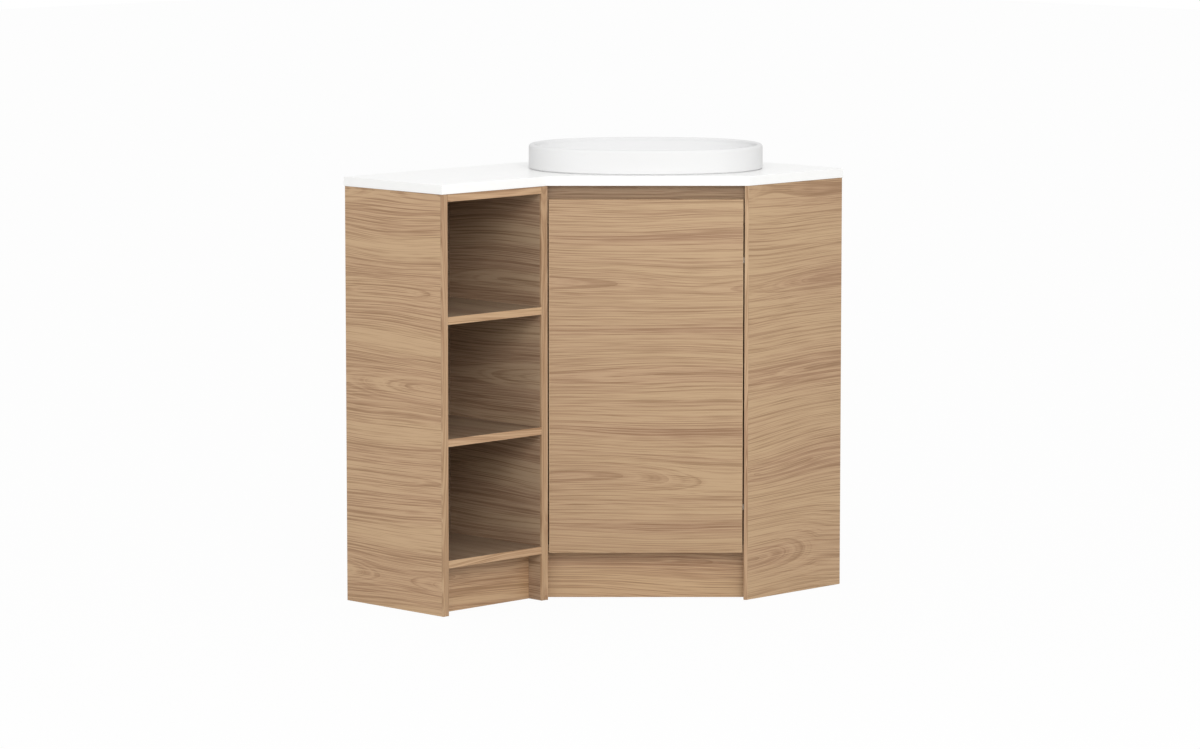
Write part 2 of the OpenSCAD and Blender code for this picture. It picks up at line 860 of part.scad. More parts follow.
// The arm is a channel over the plate's riser, with a curved shoe that the link slides under.
module hinge_arms() {
    color(steel) in_room() {
        at_hinges()
            hinge_ring(link_out + link_clear, link_out + link_clear + shoe_t, shoe_arc, arm_w);
        at_plates() difference() {
            union() {
                translate([arm_from, arm_y, -arm_w / 2]) cube([arm_to - arm_from, arm_t, arm_w]);
                for (side = [0, 1])
                    translate([cheek_from, plate_t, side * (arm_w - arm_cheek) - arm_w / 2])
                        cube([arm_to - cheek_from, arm_y - plate_t + arm_t, arm_cheek]);
            }
            translate([arm_screw_x, 0, 0]) rotate([-90, 0, 0])
                cylinder(r = arm_screw_r + dowel_clear, h = 4 * arm_y);
        }
    }
}

// A winged plate on the panel, with the riser that the arm is screwed to.
module hinge_plates() {
    color(steel) in_room() at_plates() difference() {
        union() {
            translate([plate_from, 0, -arm_w / 2]) cube([plate_to - plate_from, plate_t, arm_w]);
            translate([wing_from, 0, -wing_half]) cube([wing_to - wing_from, plate_t, 2 * wing_half]);
            translate([riser_from, 0, -riser_w / 2])
                cube([arm_to - riser_from, plate_t + riser_h, riser_w]);
        }
        plate_screw_places() cylinder(r = hinge_screw_r + dowel_clear, h = 3 * plate_t, center = true);
        translate([arm_screw_x, -cut, 0]) rotate([-90, 0, 0])
            cylinder(r = arm_screw_r + dowel_clear, h = 4 * arm_y);
    }
}

module hinge_plate_screws() {
    color(bright) in_room() at_plates() {
        plate_screw_places() {
            translate([0, 0, -screw_head_h]) cylinder(r = hinge_screw_head_r, h = screw_head_h);
            cylinder(r = hinge_screw_r, h = hinge_screw_len);
        }
        translate([arm_screw_x, arm_screw_from, 0]) rotate([-90, 0, 0])
            cylinder(r = arm_screw_r, h = arm_y + arm_t);
        translate([arm_screw_x, arm_y + arm_t, 0]) rotate([-90, 0, 0])
            cylinder(r = hinge_screw_head_r, h = screw_head_h);
    }
}

left_end_panel();
left_panel_lipping();
divider_panel();
divider_lipping();
right_end_panel();
right_panel_edge_band();
shelf_unit_base();
lower_shelf();
upper_shelf();
shelf_unit_top();
shelf_edge_bands();
shelf_unit_back();
shelf_unit_kickboard();
cabinet_base();
door_side_kickboard();
finger_pull_rail();
long_wall_top_rail();
long_wall_back_panel();
short_wall_top_rail();
short_wall_back_panel();
corner_post();
carcass_dowels();
benchtop_brackets();
bracket_screws();
benchtop();
basin();
basin_seal();
waste_body();
waste_flange_seal();
waste_washer();
waste_backnut();
plug_cartridge();
pop_up_plug();
door();
door_edge_bands();
door_bumpers();
hinge_cups();
hinge_cup_screws();
hinge_links();
hinge_arms();
hinge_plates();
hinge_plate_screws();
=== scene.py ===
"""Looks of a corner vanity unit: oak-faced boards, a white benchtop and an oval semi-recessed basin."""

import logging
import math
from dataclasses import dataclass, field
from enum import Enum
from typing import Optional, Sequence

import bmesh
import bpy
from mathutils import Euler, Matrix, Vector


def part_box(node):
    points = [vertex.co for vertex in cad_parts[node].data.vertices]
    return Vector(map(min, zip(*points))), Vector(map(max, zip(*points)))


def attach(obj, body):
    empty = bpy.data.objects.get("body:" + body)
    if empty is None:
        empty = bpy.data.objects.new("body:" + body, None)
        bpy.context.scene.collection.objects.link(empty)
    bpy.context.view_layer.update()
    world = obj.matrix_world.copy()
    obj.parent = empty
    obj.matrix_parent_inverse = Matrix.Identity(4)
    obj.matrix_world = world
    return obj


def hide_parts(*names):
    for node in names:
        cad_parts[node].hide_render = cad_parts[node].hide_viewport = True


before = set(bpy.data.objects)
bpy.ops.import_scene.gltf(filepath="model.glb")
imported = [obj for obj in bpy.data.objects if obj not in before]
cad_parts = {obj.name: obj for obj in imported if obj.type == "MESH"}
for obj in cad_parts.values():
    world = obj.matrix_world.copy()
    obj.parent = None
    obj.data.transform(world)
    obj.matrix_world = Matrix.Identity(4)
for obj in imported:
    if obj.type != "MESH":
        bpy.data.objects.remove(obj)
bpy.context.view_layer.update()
MM = 0.001
HALF_ROOT = 0.5**0.5
LOG = logging.getLogger("corner_vanity")

Socket = bpy.types.NodeSocket
Tree = bpy.types.NodeTree
Triple = tuple[float, float, float]
Colour = tuple[float, float, float, float]
Profile = list[tuple[float, float]]


# ------------------------------------------------------------------ small helpers


def srgb(code: str) -> Colour:
    """Turns an sRGB hex value into the linear colour that a shader takes.

    Args:
        code: The colour as seen, such as "#b7967a".

    Returns:
        Red, green, blue and alpha, linear.
    """
    channels = [int(code[i : i + 2], 16) / 255 for i in (1, 3, 5)]
    linear = [c / 12.92 if c <= 0.04045 else ((c + 0.055) / 1.055) ** 2.4 for c in channels]
    return (linear[0], linear[1], linear[2], 1.0)


def set_inputs(tree: Tree, node: bpy.types.Node, inputs: dict) -> None:
    """Sets or links the inputs of a node.

    Args:
        tree: The tree that the node is in.
        node: The node.
        inputs: Value or output socket for each input, by name or by number.
    """
    for key, value in inputs.items():
        if isinstance(value, Socket):
            tree.links.new(value, node.inputs[key])
        else:
            node.inputs[key].default_value = value


def add_node(tree: Tree, kind: str, inputs: Optional[dict] = None, **settings: object) -> bpy.types.Node:
    """Adds a node, with its settings, values and links.

    Args:
        tree: The shader or geometry tree that takes the node.
        kind: The node's type name.
        inputs: Value or output socket for each input, by name or by number.
        **settings: The node's own settings.

    Returns:
        The new node.
    """
    node = tree.nodes.new(kind)
    for key, value in settings.items():
        setattr(node, key, value)
    set_inputs(tree, node, inputs or {})
    return node


def calc(tree: Tree, operation: str, *values: Socket | float) -> Socket:
    """Adds a node that does arithmetic.

    Args:
        tree: The shader or geometry tree.
        operation: The Math node's operation.
        *values: What it works on, in order.

    Returns:
        The result.
    """
    return add_node(tree, "ShaderNodeMath", dict(enumerate(values)), operation=operation).outputs[0]


def new_piece(
    name: str,
    mesh: bpy.types.Mesh,
    body: str,
    materials: Sequence[bpy.types.Material],
    nodes: Sequence[str] = (),
) -> bpy.types.Object:
    """Puts a finished mesh in the scene as a piece that rides on a body.

    Args:
        name: The piece's name.
        mesh: Its mesh, already in its place.
        body: The CAD body that it moves with.
        materials: Its materials, in the order of the faces' material indices.
        nodes: CAD nodes that it stands for.

    Returns:
        The piece.
    """
    mesh.name = name
    # Clearing the materials also clears the faces' material indices, so it is done only where it must be.
    if mesh.materials:
        mesh.materials.clear()
    for material in materials:
        mesh.materials.append(material)
    piece = bpy.data.objects.new(name, mesh)
    bpy.context.scene.collection.objects.link(piece)
    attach(piece, body)
    if nodes:
        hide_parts(*nodes)
    return piece


def dress_node(node: str, material: bpy.types.Material) -> bpy.types.Object:
    """Gives a CAD node, whose shape is right as it is, its finish.

    Args:
        node: The node's name.
        material: Its material.

    Returns:
        The node's object.
    """
    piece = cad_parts[node]
    for place in piece.material_slots:
        place.material = material
    if not piece.material_slots:
        piece.data.materials.append(material)
    return piece


def merged_copy(node: str) -> bmesh.types.BMesh:
    """Copies a CAD node's mesh with its loose triangles joined up.

    Args:
        node: The node's name.

    Returns:
        The copy.
    """
    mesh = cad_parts[node].data.copy()
    for stale in ("custom_normal", "sharp_edge", "sharp_face"):
        if stale in mesh.attributes:
            mesh.attributes.remove(mesh.attributes[stale])
    shape = bmesh.new()
    shape.from_mesh(mesh)
    bpy.data.meshes.remove(mesh)
    bmesh.ops.remove_doubles(shape, verts=shape.verts, dist=0.01 * MM)
    return shape


def ease_edges(
    shape: bmesh.types.BMesh, radius: float, shortest: float = 10 * MM, steps: int = 3, front: Optional[Vector] = None
) -> None:
    """Rounds the long sharp edges that stand proud, as a maker breaks them.

    Args:
        shape: The mesh, changed in place.
        radius: How far each edge is cut back.
        shortest: Edges shorter than this stay as they are, such as those of screw holes.
        steps: Faces across each rounding.
        front: If given, only edges of faces that look this way are rounded.
    """
    edges = [
        edge
        for edge in shape.edges
        if edge.is_manifold and edge.is_convex and edge.calc_length() > shortest
        and edge.calc_face_angle(0.0) > math.radians(50)
    ]
    if front is not None:
        edges = [edge for edge in edges if any(face.normal.dot(front) > 0.7 for face in edge.link_faces)]
    bmesh.ops.bevel(
        shape,
        geom=edges,
        offset=radius,
        offset_type="OFFSET",
        segments=steps,
        profile=0.5,
        affect="EDGES",
        clamp_overlap=True,
        loop_slide=False,
    )


def finished_mesh(shape: bmesh.types.BMesh, smooth_below: float = 40.0) -> bpy.types.Mesh:
    """Turns a mesh in work into a shaded one.

    Args:
        shape: The mesh in work, freed afterwards.
        smooth_below: Faces that meet at less than this many degrees shade as one.

    Returns:
        The mesh.
    """
    mesh = bpy.data.meshes.new("work")
    shape.to_mesh(mesh)
    shape.free()
    mesh.shade_smooth()
    mesh.set_sharp_from_angle(angle=math.radians(smooth_below))
    return mesh


def weigh_normals(piece: bpy.types.Object) -> bpy.types.Object:
    """Keeps the large faces of an eased piece flat to the light, and gives it back.

    Args:
        piece: The piece.

    Returns:
        The piece.
    """
    weigher = piece.modifiers.new("flat faces", "WEIGHTED_NORMAL")
    weigher.keep_sharp = True
    return piece


# ------------------------------------------------------------------ finishes


class Grain(Enum):
    """Which way the wood runs: rows give the directions along, across and through the board."""

    ALONG_LONG_WALL = ((1, 0, 0), (0, 0, 1), (0, -1, 0))
    ALONG_SHORT_WALL = ((0, 1, 0), (0, 0, 1), (1, 0, 0))
    ALONG_DOOR = ((HALF_ROOT, -HALF_ROOT, 0), (0, 0, 1), (-HALF_ROOT, -HALF_ROOT, 0))
    UPRIGHT = ((0, 0, 1), (1, 0, 0), (0, 1, 0))
    UPRIGHT_DOOR = ((0, 0, 1), (-HALF_ROOT, HALF_ROOT, 0), (-HALF_ROOT, -HALF_ROOT, 0))
    FRONT_TO_BACK_FLAT = ((0, 1, 0), (1, 0, 0), (0, 0, -1))

    @property
    def turn(self) -> Euler:
        """The turn that brings the grain to the pattern's first axis."""
        return Matrix(self.value).to_euler()

    @property
    def through(self) -> Vector:
        """The direction through the board's thickness."""
        return Vector(self.value[2])


def start_material(name: str) -> tuple[bpy.types.Material, Tree, bpy.types.Node]:
    """Starts a material with a plain shader.

    Args:
        name: The finish it stands for.

    Returns:
        The material, its tree and its Principled shader.
    """
    material = bpy.data.materials.new(name)
    material.use_nodes = True
    shader = material.node_tree.nodes["Principled BSDF"]
    return material, material.node_tree, shader


def object_place(tree: Tree, turn: Euler = Euler(), location: Triple = (0, 0, 0)) -> Socket:
    """Gives the piece's own coordinates, turned and shifted for a pattern.

    Args:
        tree: The material's tree.
        turn: How the pattern lies on the piece.
        location: Shift of the pattern, in metres.

    Returns:
        The coordinates.
    """
    place = add_node(tree, "ShaderNodeTexCoord")
    moved = {"Vector": place.outputs["Object"], "Rotation": turn, "Location": location}
    mapped = add_node(tree, "ShaderNodeMapping", moved)
    return mapped.outputs["Vector"]


def stretched_noise(
    tree: Tree, place: Socket, per_metre: Triple, detail: float, rough: float = 0.55
) -> bpy.types.Node:
    """Adds noise that is stretched along the pattern's axes.

    Args:
        tree: The material's tree.
        place: Coordinates in metres.
        per_metre: How often it varies along, across and through the board.
        detail: Octaves of finer noise.
        rough: Weight of the finer octaves.

    Returns:
        The noise node.
    """
    scaled = add_node(tree, "ShaderNodeVectorMath", {0: place, 1: per_metre}, operation="MULTIPLY")
    return add_node(
        tree, "ShaderNodeTexNoise", {"Vector": scaled.outputs[0], "Scale": 1.0, "Detail": detail, "Roughness": rough}
    )


def weighed(tree: Tree, value: Socket, weight: float, add_to: Socket | float) -> Socket:
    """Adds a pattern, centred on a half and weighed, to what it varies.

    Args:
        tree: The material's tree.
        value: A pattern between 0 and 1.
        weight: How much it counts.
        add_to: What it is added to.

    Returns:
        The sum.
    """
    return calc(tree, "MULTIPLY_ADD", calc(tree, "SUBTRACT", value, 0.5), weight, add_to)


@dataclass(frozen=True)
class OakDecor:
    """Oak decor under melamine: a printed matt film pressed on particle board.

    The eye gets fine streaks along the grain, soft arches where the print was cut near the heart of
    the log, paler yellowish and darker pinkish bands, and hardly any gloss.
    """

    name: str
    grain: Grain
    dark: str = "#886745"
    middle: str = "#b08d6d"
    light: str = "#ceae8a"
    pink: str = "#b08867"
    yellow: str = "#bc9b72"
    roughness: float = 0.5
    contrast: float = 1.15
    # shade darkens the decor's colours and greyed greys them; on the boards below they paint light and shade.
    shade: float = 1.0
    greyed: float = 0.0
    shift: Triple = (0.0, 0.0, 0.0)

    def material(self) -> bpy.types.Material:
        """Builds the finish as a procedural material.

        Returns:
            The material.
        """
        material, tree, shader = start_material(self.name)
        place = self._swayed(tree, object_place(tree, self.grain.turn, self.shift))
        figure = self._figure(tree, place)
        # Bands 20 to 60 mm wide, and streaks of about 10 mm within them.
        bands = stretched_noise(tree, figure, (0.7, 20.0, 2.0), 2.0)
        streaks = stretched_noise(tree, figure, (0.8, 90.0, 4.0), 1.0)
        # Lines of 3 mm that follow the figure, and threads of 2 mm that follow the log.
        lines = stretched_noise(tree, figure, (1.5, 370.0, 14.0), 1.0)
        threads = stretched_noise(tree, place, (2.2, 560.0, 30.0), 1.0)
        # Open pores, short dark dashes of 40 mm, drawn 1 mm wide, which is coarser than the real 0.3 mm.
        pores = stretched_noise(tree, place, (13.0, 900.0, 60.0), 0.0)
        tone = weighed(tree, bands.outputs[0], self.contrast * 1.45, 0.52)
        tone = weighed(tree, streaks.outputs[0], self.contrast * 0.45, tone)
        tone = weighed(tree, lines.outputs[0], self.contrast * 1.6, tone)
        tone = weighed(tree, threads.outputs[0], self.contrast * 2.0, tone)
        tone = weighed(tree, self._growth_rings(tree, figure), self.contrast * 0.4, tone)
        tone = weighed(tree, pores.outputs[0], self.contrast * 1.3, tone)
        ramp = add_node(tree, "ShaderNodeValToRGB", {0: tone})
        ramp.color_ramp.elements[0].position, ramp.color_ramp.elements[0].color = 0.05, self._tint(self.dark)
        ramp.color_ramp.elements[1].position, ramp.color_ramp.elements[1].color = 0.95, self._tint(self.light)
        ramp.color_ramp.elements.new(0.5).color = self._tint(self.middle)
        # The paler bands lean towards yellow, the darker ones towards pink.
        cast = add_node(tree, "ShaderNodeMapRange", {0: bands.outputs[0], 1: 0.36, 2: 0.64})
        warm = add_node(
            tree,
            "ShaderNodeMix",
            {0: cast.outputs[0], 6: self._tint(self.pink), 7: self._tint(self.yellow)},
            data_type="RGBA",
        )
        colour = add_node(tree, "ShaderNodeMix", {0: 0.4, 6: ramp.outputs[0], 7: warm.outputs[2]}, data_type="RGBA")
        bump = add_node(tree, "ShaderNodeBump", {"Height": pores.outputs[0], "Strength": 0.25, "Distance": 0.05 * MM})
        looks = {"Base Color": colour.outputs[2], "Normal": bump.outputs[0], "Roughness": self.roughness, "IOR": 1.5}
        set_inputs(tree, shader, looks)
        return material

    def _tint(self, colour: str) -> tuple[float, float, float, float]:
        """Gives one of the decor's colours with this board's painted light and shade.

        Args:
            colour: The decor's colour, as a hex value.

        Returns:
            The linear colour, greyed and shaded, and opaque.
        """
        red, green, blue, _ = srgb(colour)
        grey = (red + green + blue) / 3
        return (*(self.shade * (part + self.greyed * (grey - part)) for part in (red, green, blue)), 1.0)

    def _swayed(self, tree: Tree, place: Socket) -> Socket:
        """Bends the grain gently, as a log grows.

        Args:
            tree: The material's tree.
            place: Coordinates in metres, along, across and through the board.

        Returns:
            Coordinates in which the log is straight.
        """
        for waves, depth in (((1.4, 4.0, 3.0), 0.085), ((3.5, 20.0, 8.0), 0.0045)):
            sway = stretched_noise(tree, place, waves, 1.0)
            across = calc(tree, "MULTIPLY", calc(tree, "SUBTRACT", sway.outputs[0], 0.5), depth)
            shift = add_node(tree, "ShaderNodeCombineXYZ", {1: across})
            place = add_node(tree, "ShaderNodeVectorMath", {0: place, 1: shift.outputs[0]}, operation="ADD").outputs[0]
        return place

    def _figure(self, tree: Tree, place: Socket) -> Socket:
        """Lays out the year rings of sheets cut near the heart of the log.

        The heart lies behind the sheet's middle, nearer here and farther there, so that the rings
        run out in nested arches along the middle and close to straight beside it.

        Args:
            tree: The material's tree.
            place: Coordinates in which the log is straight.

        Returns:
            Coordinates along the log and away from its heart.
        """
        parts = add_node(tree, "ShaderNodeSeparateXYZ", {0: place})
        # One heart at 270 mm up, the next 200 mm higher.
        beside = calc(tree, "PINGPONG", calc(tree, "SUBTRACT", parts.outputs[1], 0.27), 0.1)
        wander = stretched_noise(tree, place, (1.7, 4.0, 2.0), 1.0)
        behind = add_node(tree, "ShaderNodeMapRange", {0: wander.outputs[0], 1: 0.3, 2: 0.7, 3: -0.012, 4: 0.036})
        away = add_node(tree, "ShaderNodeCombineXYZ", {0: beside, 1: behind.outputs[0]})
        ring = add_node(tree, "ShaderNodeVectorMath", {0: away.outputs[0]}, operation="LENGTH")
        laid = {0: parts.outputs[0], 1: ring.outputs["Value"], 2: parts.outputs[2]}
        return add_node(tree, "ShaderNodeCombineXYZ", laid).outputs[0]

    def _growth_rings(self, tree: Tree, figure: Socket) -> Socket:
        """Draws the year rings as thin late-wood lines that follow the figure.

        Args:
            tree: The material's tree.
            figure: Coordinates in which the grain is straight.

        Returns:
            A pattern between 0 and 1, darkest at the end of each ring.
        """
        uneven = stretched_noise(tree, figure, (0.3, 14.0, 3.0), 1.0)
        side = add_node(tree, "ShaderNodeSeparateXYZ", {0: figure})
        # Rings of about 12 mm, some twice as wide as others.
        count = calc(tree, "MULTIPLY", side.outputs[1], 85.0)
        saw = calc(tree, "FRACT", weighed(tree, uneven.outputs[0], 7.0, count))
        return calc(tree, "SUBTRACT", 1.0, calc(tree, "POWER", saw, 5.0))


@dataclass(frozen=True)
class ParticleBoard:
    """Raw particle board: pressed wood chips, seen where a board was sawn and not edged."""

    name: str = "particle_board_core"

    def material(self) -> bpy.types.Material:
        """Builds the finish as a procedural material.

        Returns:
            The material.
        """
        material, tree, shader = start_material(self.name)
        place = object_place(tree)
        # Chips of 2 to 5 mm.
        chips = add_node(tree, "ShaderNodeTexVoronoi", {"Vector": place, "Scale": 320.0})
        tint = add_node(tree, "ShaderNodeSeparateColor", {0: chips.outputs["Color"]})
        ramp = add_node(tree, "ShaderNodeValToRGB", {0: tint.outputs[0]})
        ramp.color_ramp.elements[0].color = srgb("#8f7350")
        ramp.color_ramp.elements[1].color = srgb("#cdb48d")
        relief = {"Height": chips.outputs["Distance"], "Strength": 0.5, "Distance": 0.3 * MM}
        bump = add_node(tree, "ShaderNodeBump", relief)
        set_inputs(tree, shader, {"Base Color": ramp.outputs[0], "Normal": bump.outputs[0], "Roughness": 0.85})
        return material


@dataclass(frozen=True)
class TintedFinish:
    """A finish whose colour and polish vary a little over the surface.

    One class serves the plain finishes: each one says below what its real material gives the eye.
    """

    name: str
    dark: str
    light: str
    grain_per_metre: float
    rough_low: float
    rough_high: float
    metallic: float = 0.0
    ior: float = 1.5
    coat: float = 0.0
    clear: float = 0.0
    bump_mm: float = 0.0
    stretch: Triple = (1.0, 1.0, 1.0)

    def material(self) -> bpy.types.Material:
        """Builds the finish as a procedural material.

        Returns:
            The material.
        """
        material, tree, shader = start_material(self.name)
        scale = tuple(self.grain_per_metre * s for s in self.stretch)
        cloud = stretched_noise(tree, object_place(tree), scale, 3.0)
        ramp = add_node(tree, "ShaderNodeValToRGB", {0: cloud.outputs[0]})
        ramp.color_ramp.elements[0].position, ramp.color_ramp.elements[0].color = 0.3, srgb(self.dark)
        ramp.color_ramp.elements[1].position, ramp.color_ramp.elements[1].color = 0.7, srgb(self.light)
        polish = add_node(
            tree, "ShaderNodeMapRange", {0: cloud.outputs[0], 1: 0.3, 2: 0.7, 3: self.rough_low, 4: self.rough_high}
        )
        looks = {"Base Color": ramp.outputs[0], "Roughness": polish.outputs[0], "Metallic": self.metallic}
        looks |= {"IOR": self.ior, "Coat Weight": self.coat, "Transmission Weight": self.clear}
        set_inputs(tree, shader, looks)
        if self.bump_mm:
            relief = {"Height": cloud.outputs[0], "Strength": 1.0, "Distance": self.bump_mm * MM}
            bump = add_node(tree, "ShaderNodeBump", relief)
            tree.links.new(bump.outputs[0], shader.inputs["Normal"])
        return material


# Acrylic solid surface, sanded satin: an even warm white with the faintest mineral cloud.
SOLID_SURFACE = TintedFinish("white_solid_surface", "#f8f8f7", "#fafaf9", 45.0, 0.3, 0.34, ior=1.49)
# Vitreous china, glazed and fired: a wet-looking white whose glaze is never quite flat.
CHINA_GLAZE = TintedFinish("glazed_vitreous_china", "#f6f6f5", "#fafafa", 14.0, 0.07, 0.1, ior=1.52, coat=0.5)
# Cured silicone sealant: whitish, half clear and slick.
SILICONE = TintedFinish("cured_silicone_sealant", "#c9c9c4", "#dcdcd8", 60.0, 0.3, 0.4, ior=1.41, clear=0.15)
# Polyurethane bumper: cast clear and slightly cloudy.
POLYURETHANE = TintedFinish("clear_polyurethane", "#d6d7d2", "#e6e7e3", 90.0, 0.12, 0.2, ior=1.49, clear=0.6)
# EPDM rubber, moulded: matt near black with a bloom.
RUBBER = TintedFinish("moulded_epdm_rubber", "#1f1f20", "#303031", 220.0, 0.6, 0.75, bump_mm=0.02)
# Chromium plate over polished brass: mirror bright and slightly blue.
CHROME = TintedFinish("polished_chrome_plate", "#c3c6c9", "#cfd2d4", 35.0, 0.05, 0.09, metallic=1.0)
# Nickel plate over pressed steel: a little warm, with the press's soft texture; held darker than bright nickel, which
# is painted shade that dulls the hinges' glints in the door's gap.
NICKEL = TintedFinish("nickel_plated_pressed_steel", "#a7a298", "#b8b3a9", 120.0, 0.2, 0.3, metallic=1.0, bump_mm=0.01)
# Zinc plate over folded steel: grey, passivated and uneven in its shine.
ZINC = TintedFinish("zinc_plated_folded_steel", "#a9adb0", "#c3c6c7", 180.0, 0.32, 0.48, metallic=1.0, bump_mm=0.01)
# Zinc-plated wood screws: brighter, with the polish of tumbling.
SCREW_STEEL = TintedFinish("zinc_plated_screw_steel", "#b2b5b6", "#cdcfcf", 300.0, 0.25, 0.38, metallic=1.0)
# Turned brass: yellow and drawn with the lathe's fine rings.
BRASS = TintedFinish("turned_brass", "#b5945a", "#cdac70", 700.0, 0.22, 0.34, metallic=1.0, stretch=(0.15, 0.15, 1.0))
# Turned beech dowel: pale pinkish wood, flecked.
BEECH = TintedFinish("turned_beech", "#c6a274", "#dcbd92", 260.0, 0.6, 0.7, bump_mm=0.04, stretch=(0.3, 0.3, 1.0))


class FinishStore:
    """Builds each finish once and hands it to the pieces."""

    def __init__(self) -> None:
        """Starts with no finish built."""
        self._built: dict[object, bpy.types.Material] = {}

    def get(self, finish: OakDecor | ParticleBoard | TintedFinish) -> bpy.types.Material:
        """Gives a finish's material, built the first time it is asked for.

        Args:
            finish: The finish.

        Returns:
            Its material.
        """
        if finish not in self._built:
            self._built[finish] = finish.material()
        return self._built[finish]


CORE = ParticleBoard()
# The shade factors of the door, the panels and the kickboards are painted light and shade: they even out how the lamp
# lights each face of one decor, darker where it falls full, lighter on the recessed kickboards.
OAK_DOOR = OakDecor("oak_decor_along_the_door", Grain.ALONG_DOOR, shade=0.865)
OAK_SIDE = OakDecor("oak_decor_along_the_left_panels", Grain.ALONG_SHORT_WALL, shade=0.985, shift=(1.7, 0.0, 0.0))
OAK_LONG = OakDecor("oak_decor_along_the_right_panel", Grain.ALONG_LONG_WALL, shade=0.92, shift=(0.6, 0.0, 0.0))
OAK_KICK_DOOR = OakDecor("oak_decor_of_the_door_side_kickboard", Grain.ALONG_DOOR, shade=0.97, shift=(0.4, 0.0, 0.0))
OAK_KICK_LONG = OakDecor("oak_decor_of_the_shelf_unit_kickboard", Grain.ALONG_LONG_WALL, shift=(1.2, 0.0, 0.0))
# The finger pull is darkened to 0.6 of the decor: painted shade under the benchtop's overhang.
OAK_RAIL_PAINTED_SHADE = OakDecor("oak_decor_of_the_finger_pull_painted_shade", Grain.ALONG_DOOR, shade=0.6)
# The bays' sides, their back and the shelves are a darker and greyer copy of the decor: painted shade, deepest at the
# back of the bays.
OAK_BAY_SIDES_PAINTED_SHADE = OakDecor(
    "oak_decor_of_the_bays_sides_painted_shade", Grain.ALONG_SHORT_WALL, shade=0.87, greyed=0.17, shift=(1.7, 0.0, 0.0)
)
OAK_SHELF_PAINTED_SHADE = OakDecor("oak_decor_front_to_back_painted_shade", Grain.FRONT_TO_BACK_FLAT, shade=0.58, greyed=0.2, shift=(0.3, 0.1, 0.0))
OAK_BAY_BACK_PAINTED_SHADE = OakDecor(
    "oak_decor_of_the_bays_back_painted_shade", Grain.ALONG_LONG_WALL, shade=0.5, greyed=0.2, shift=(2.4, 0.0, 0.0)
)
# The boards inside the cabinet are a darker interior print, greyed and darkened further as painted shade.
OAK_INSIDE_LONG = OakDecor(
    "oak_decor_inside_along_the_long_wall", Grain.ALONG_LONG_WALL, shade=0.75, greyed=0.2, shift=(2.4, 0.0, 0.0)
)
OAK_INSIDE_SHORT = OakDecor(
    "oak_decor_inside_along_the_short_wall", Grain.ALONG_SHORT_WALL, shade=0.75, greyed=0.2, shift=(3.1, 0.0, 0.0)
)
OAK_INSIDE_FLAT = OakDecor(
    "oak_decor_inside_flat", Grain.FRONT_TO_BACK_FLAT, shade=0.75, greyed=0.2, shift=(4.2, 0.0, 0.0)
)
# The shade factors of the lipping and the bands are painted light and shade too, set with those of the door and the
# panels.
OAK_LIPPING = OakDecor("solid_oak_lipping", Grain.UPRIGHT, contrast=0.8, shade=0.92)
OAK_BAND_UPRIGHT = OakDecor("oak_edge_band_upright", Grain.UPRIGHT_DOOR, shade=0.93, shift=(0.2, 0.4, 0.0))
OAK_BAND_LONG = OakDecor("oak_edge_band_along_the_shelves", Grain.ALONG_LONG_WALL, shift=(0.9, 0.2, 0.0))
OAK_BAND_DOOR = OakDecor("oak_edge_band_along_the_door", Grain.ALONG_DOOR, shade=0.88, shift=(0.9, 0.2, 0.0))


# ------------------------------------------------------------------ shapes made by rule


def new_tree(name: str, inputs: dict[str, str]) -> tuple[Tree, bpy.types.Node]:
    """Starts a Geometry Nodes tree with named inputs.

    Args:
        name: What the tree makes.
        inputs: The name and socket type of each input after the first geometry.

    Returns:
        The tree and its input node.
    """
    tree = bpy.data.node_groups.new(name, "GeometryNodeTree")
    tree.interface.new_socket("Geometry", in_out="OUTPUT", socket_type="NodeSocketGeometry")
    tree.interface.new_socket("Geometry", in_out="INPUT", socket_type="NodeSocketGeometry")
    for title, kind in inputs.items():
        tree.interface.new_socket(title, in_out="INPUT", socket_type=kind)
    return tree, add_node(tree, "NodeGroupInput")


def end_tree(tree: Tree, shape: Socket, material: Socket) -> None:
    """Ends a tree with real geometry in its material.

    Args:
        tree: The tree.
        shape: The geometry that it made.
        material: The material input.
    """
    real = add_node(tree, "GeometryNodeRealizeInstances", {"Geometry": shape})
    dressed = add_node(tree, "GeometryNodeSetMaterial", {"Geometry": real.outputs[0], "Material": material})
    add_node(tree, "NodeGroupOutput", {"Geometry": dressed.outputs[0]})


def grown_mesh(source: bpy.types.Mesh, tree: Tree, values: dict[str, object]) -> bpy.types.Mesh:
    """Runs a tree on a mesh and keeps the result as a plain mesh.

    Args:
        source: The mesh that goes in.
        tree: The Geometry Nodes tree.
        values: Value of each named input.

    Returns:
        The plain mesh.
    """
    holder = bpy.data.objects.new("holder", source)
    bpy.context.scene.collection.objects.link(holder)
    modifier = holder.modifiers.new(tree.name, "NODES")
    modifier.node_group = tree
    for item in tree.interface.items_tree:
        if item.in_out == "INPUT" and item.name in values:
            modifier[item.identifier] = values[item.name]
    evaluated = holder.evaluated_get(bpy.context.evaluated_depsgraph_get())
    mesh = bpy.data.meshes.new_from_object(evaluated)
    holder.modifiers.remove(modifier)
    bpy.data.objects.remove(holder)
    return mesh


